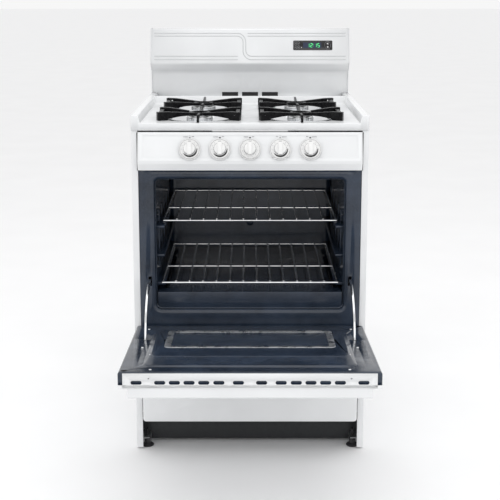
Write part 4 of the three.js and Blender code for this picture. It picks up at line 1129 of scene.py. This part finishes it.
grip = bmesh.new()
face = door_out - 0.0003
top = door_high - 0.0012
grip_half = door_half - 0.021
across(grip, [(face, top - 0.003), (face - 0.022, top - 0.010), (face - 0.026, top - 0.015),
              (face - 0.026, top - 0.034), (face - 0.023, top - 0.034), (face - 0.023, top - 0.016),
              (face - 0.004, top - 0.011), (face - 0.003, top - 0.042), (face, top - 0.042)],
       -grip_half, grip_half)
round_edges(grip, 0.0012, long_in(0, 0.4), segments=4)
fit("door_grip", hang(grip), white_porcelain, "door", ["door_handle"])

# -------------------- hinge arms
# A chrome-plated steel blade, a quarter circle about the hinge pin, slides through the front frame as the
# door moves. A strap carries it inside the door. The fixed brackets hold the pins.

arm_chrome = chrome_plate("arm_chrome", 0.14)
arm_width, arm_radius, arm_half, overrun = 0.005, 0.137, 0.0075, 13.2
for side, name in ((-1, "left"), (1, "right")):
    arm = bmesh.new()
    low_x, high_x = sorted((side * (arm_x - arm_width / 2), side * (arm_x + arm_width / 2)))
    blade = (arc_points(0, 0, arm_radius + arm_half, -overrun, 90, 36)
             + arc_points(0, 0, arm_radius - arm_half, 90, -overrun, 36))
    across(arm, blade, low_x, high_x)
    across(arm, [(-0.006, 0), (0.006, 0), (0.006, arm_radius), (-0.006, arm_radius)], low_x, high_x)
    rod(arm, (low_x, 0, 0), (high_x, 0, 0), 0.008, 32)
    round_edges(arm, 0.0007, segments=2)
    fit("hinge_blade_" + name, hang(arm), arm_chrome, "door", ["hinge_arm_" + name])
dress(["hinge_bracket_left", "hinge_bracket_right"], arm_chrome)

# -------------------- screws of the body
# Zinc-plated screws with crossed recesses hold the oven liner to the front frame, and the sheet at the back
# to the side panels.

liner_screws, rear_screws = (0.663, 0.632), (0.10, 0.35, 0.60, 0.83)
heads, recess_shade_marks = bmesh.new(), bmesh.new()
for side in (-1, 1):
    sideways = rotated(-90 * side, "Y")
    for z in liner_screws:
        screw(heads, recess_shade_marks, Matrix.Translation((side * opening_half, front_y + 0.075, z)) @ sideways,
              0.0035)
    for z in rear_screws:
        back = Matrix.Translation((side * 0.28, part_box("back_panel")[1].y - 0.0019, z)) @ inward
        screw(heads, recess_shade_marks, back, 0.0032)
fit("body_screws", heads, bright_zinc, "body")
# The black crosses are painted shade in the screw recesses.
fit("body_screw_recess_shade", recess_shade_marks, black_ink_and_painted_shade, "body")

# -------------------- studio
# A plain pale floor, a large soft light overhead, a broad one behind the camera and one at each side. The
# camera stands in front of the open door, a little above the cooktop and looking slightly down.

floor_mesh = bmesh.new()
bmesh.ops.create_grid(floor_mesh, x_segments=1, y_segments=1, size=60)
settle(floor_mesh)
floor_data = bpy.data.meshes.new("studio_floor")
floor_mesh.to_mesh(floor_data)
floor_mesh.free()
floor_paint = finish("studio_floor_paint", (0.89, 0.89, 0.895), 0.9,
                     colour=("Noise", 3, 3, (0.92, 0.92, 0.925), (0.94, 0.94, 0.945), 0.3, 0.7))
floor_data.materials.append(floor_paint)
studio_floor = bpy.data.objects.new("studio_floor", floor_data)
bpy.context.scene.collection.objects.link(studio_floor)


def soft_light(name, place, target, width, height, power):
    lamp = bpy.data.lights.new(name, "AREA")
    lamp.shape = "RECTANGLE"
    lamp.size = width
    lamp.size_y = height
    lamp.energy = power
    thing = bpy.data.objects.new(name, lamp)
    thing.location = place
    thing.rotation_euler = (Vector(target) - Vector(place)).to_track_quat("-Z", "Y").to_euler()
    bpy.context.scene.collection.objects.link(thing)


middle = (0, 0, 0.5)
soft_light("overhead", (0, -0.4, 3.4), (0, 0.1, 0.6), 3.2, 2.6, 22)
soft_light("front", (0.3, -4.2, 2.2), middle, 3.0, 2.2, 22)
soft_light("left", (-3.2, -1.2, 1.7), middle, 1.6, 2.4, 7)
soft_light("right", (3.2, -1.2, 1.7), middle, 1.6, 2.4, 7)

world = bpy.data.worlds.new("studio_air")
bpy.context.scene.world = world
bpy.context.scene.view_settings.view_transform = "Standard"
world.use_nodes = True
world.node_tree.nodes["Background"].inputs["Color"].default_value = (1, 1, 1, 1)
world.node_tree.nodes["Background"].inputs["Strength"].default_value = 0.93

front_plane = -0.10267
camera_distance = 2.8
camera_height = 1.228
camera_pitch = 10.96
lens_length = 79.308
camera_data = bpy.data.cameras.new("camera")
camera_data.sensor_width = 36
camera_data.lens = lens_length
camera_data.shift_y = -0.1
camera = bpy.data.objects.new("camera", camera_data)
camera.location = (0, front_plane - camera_distance, camera_height)
camera.rotation_euler = (math.radians(90 - camera_pitch), 0, 0)
bpy.context.scene.collection.objects.link(camera)
bpy.context.scene.camera = camera
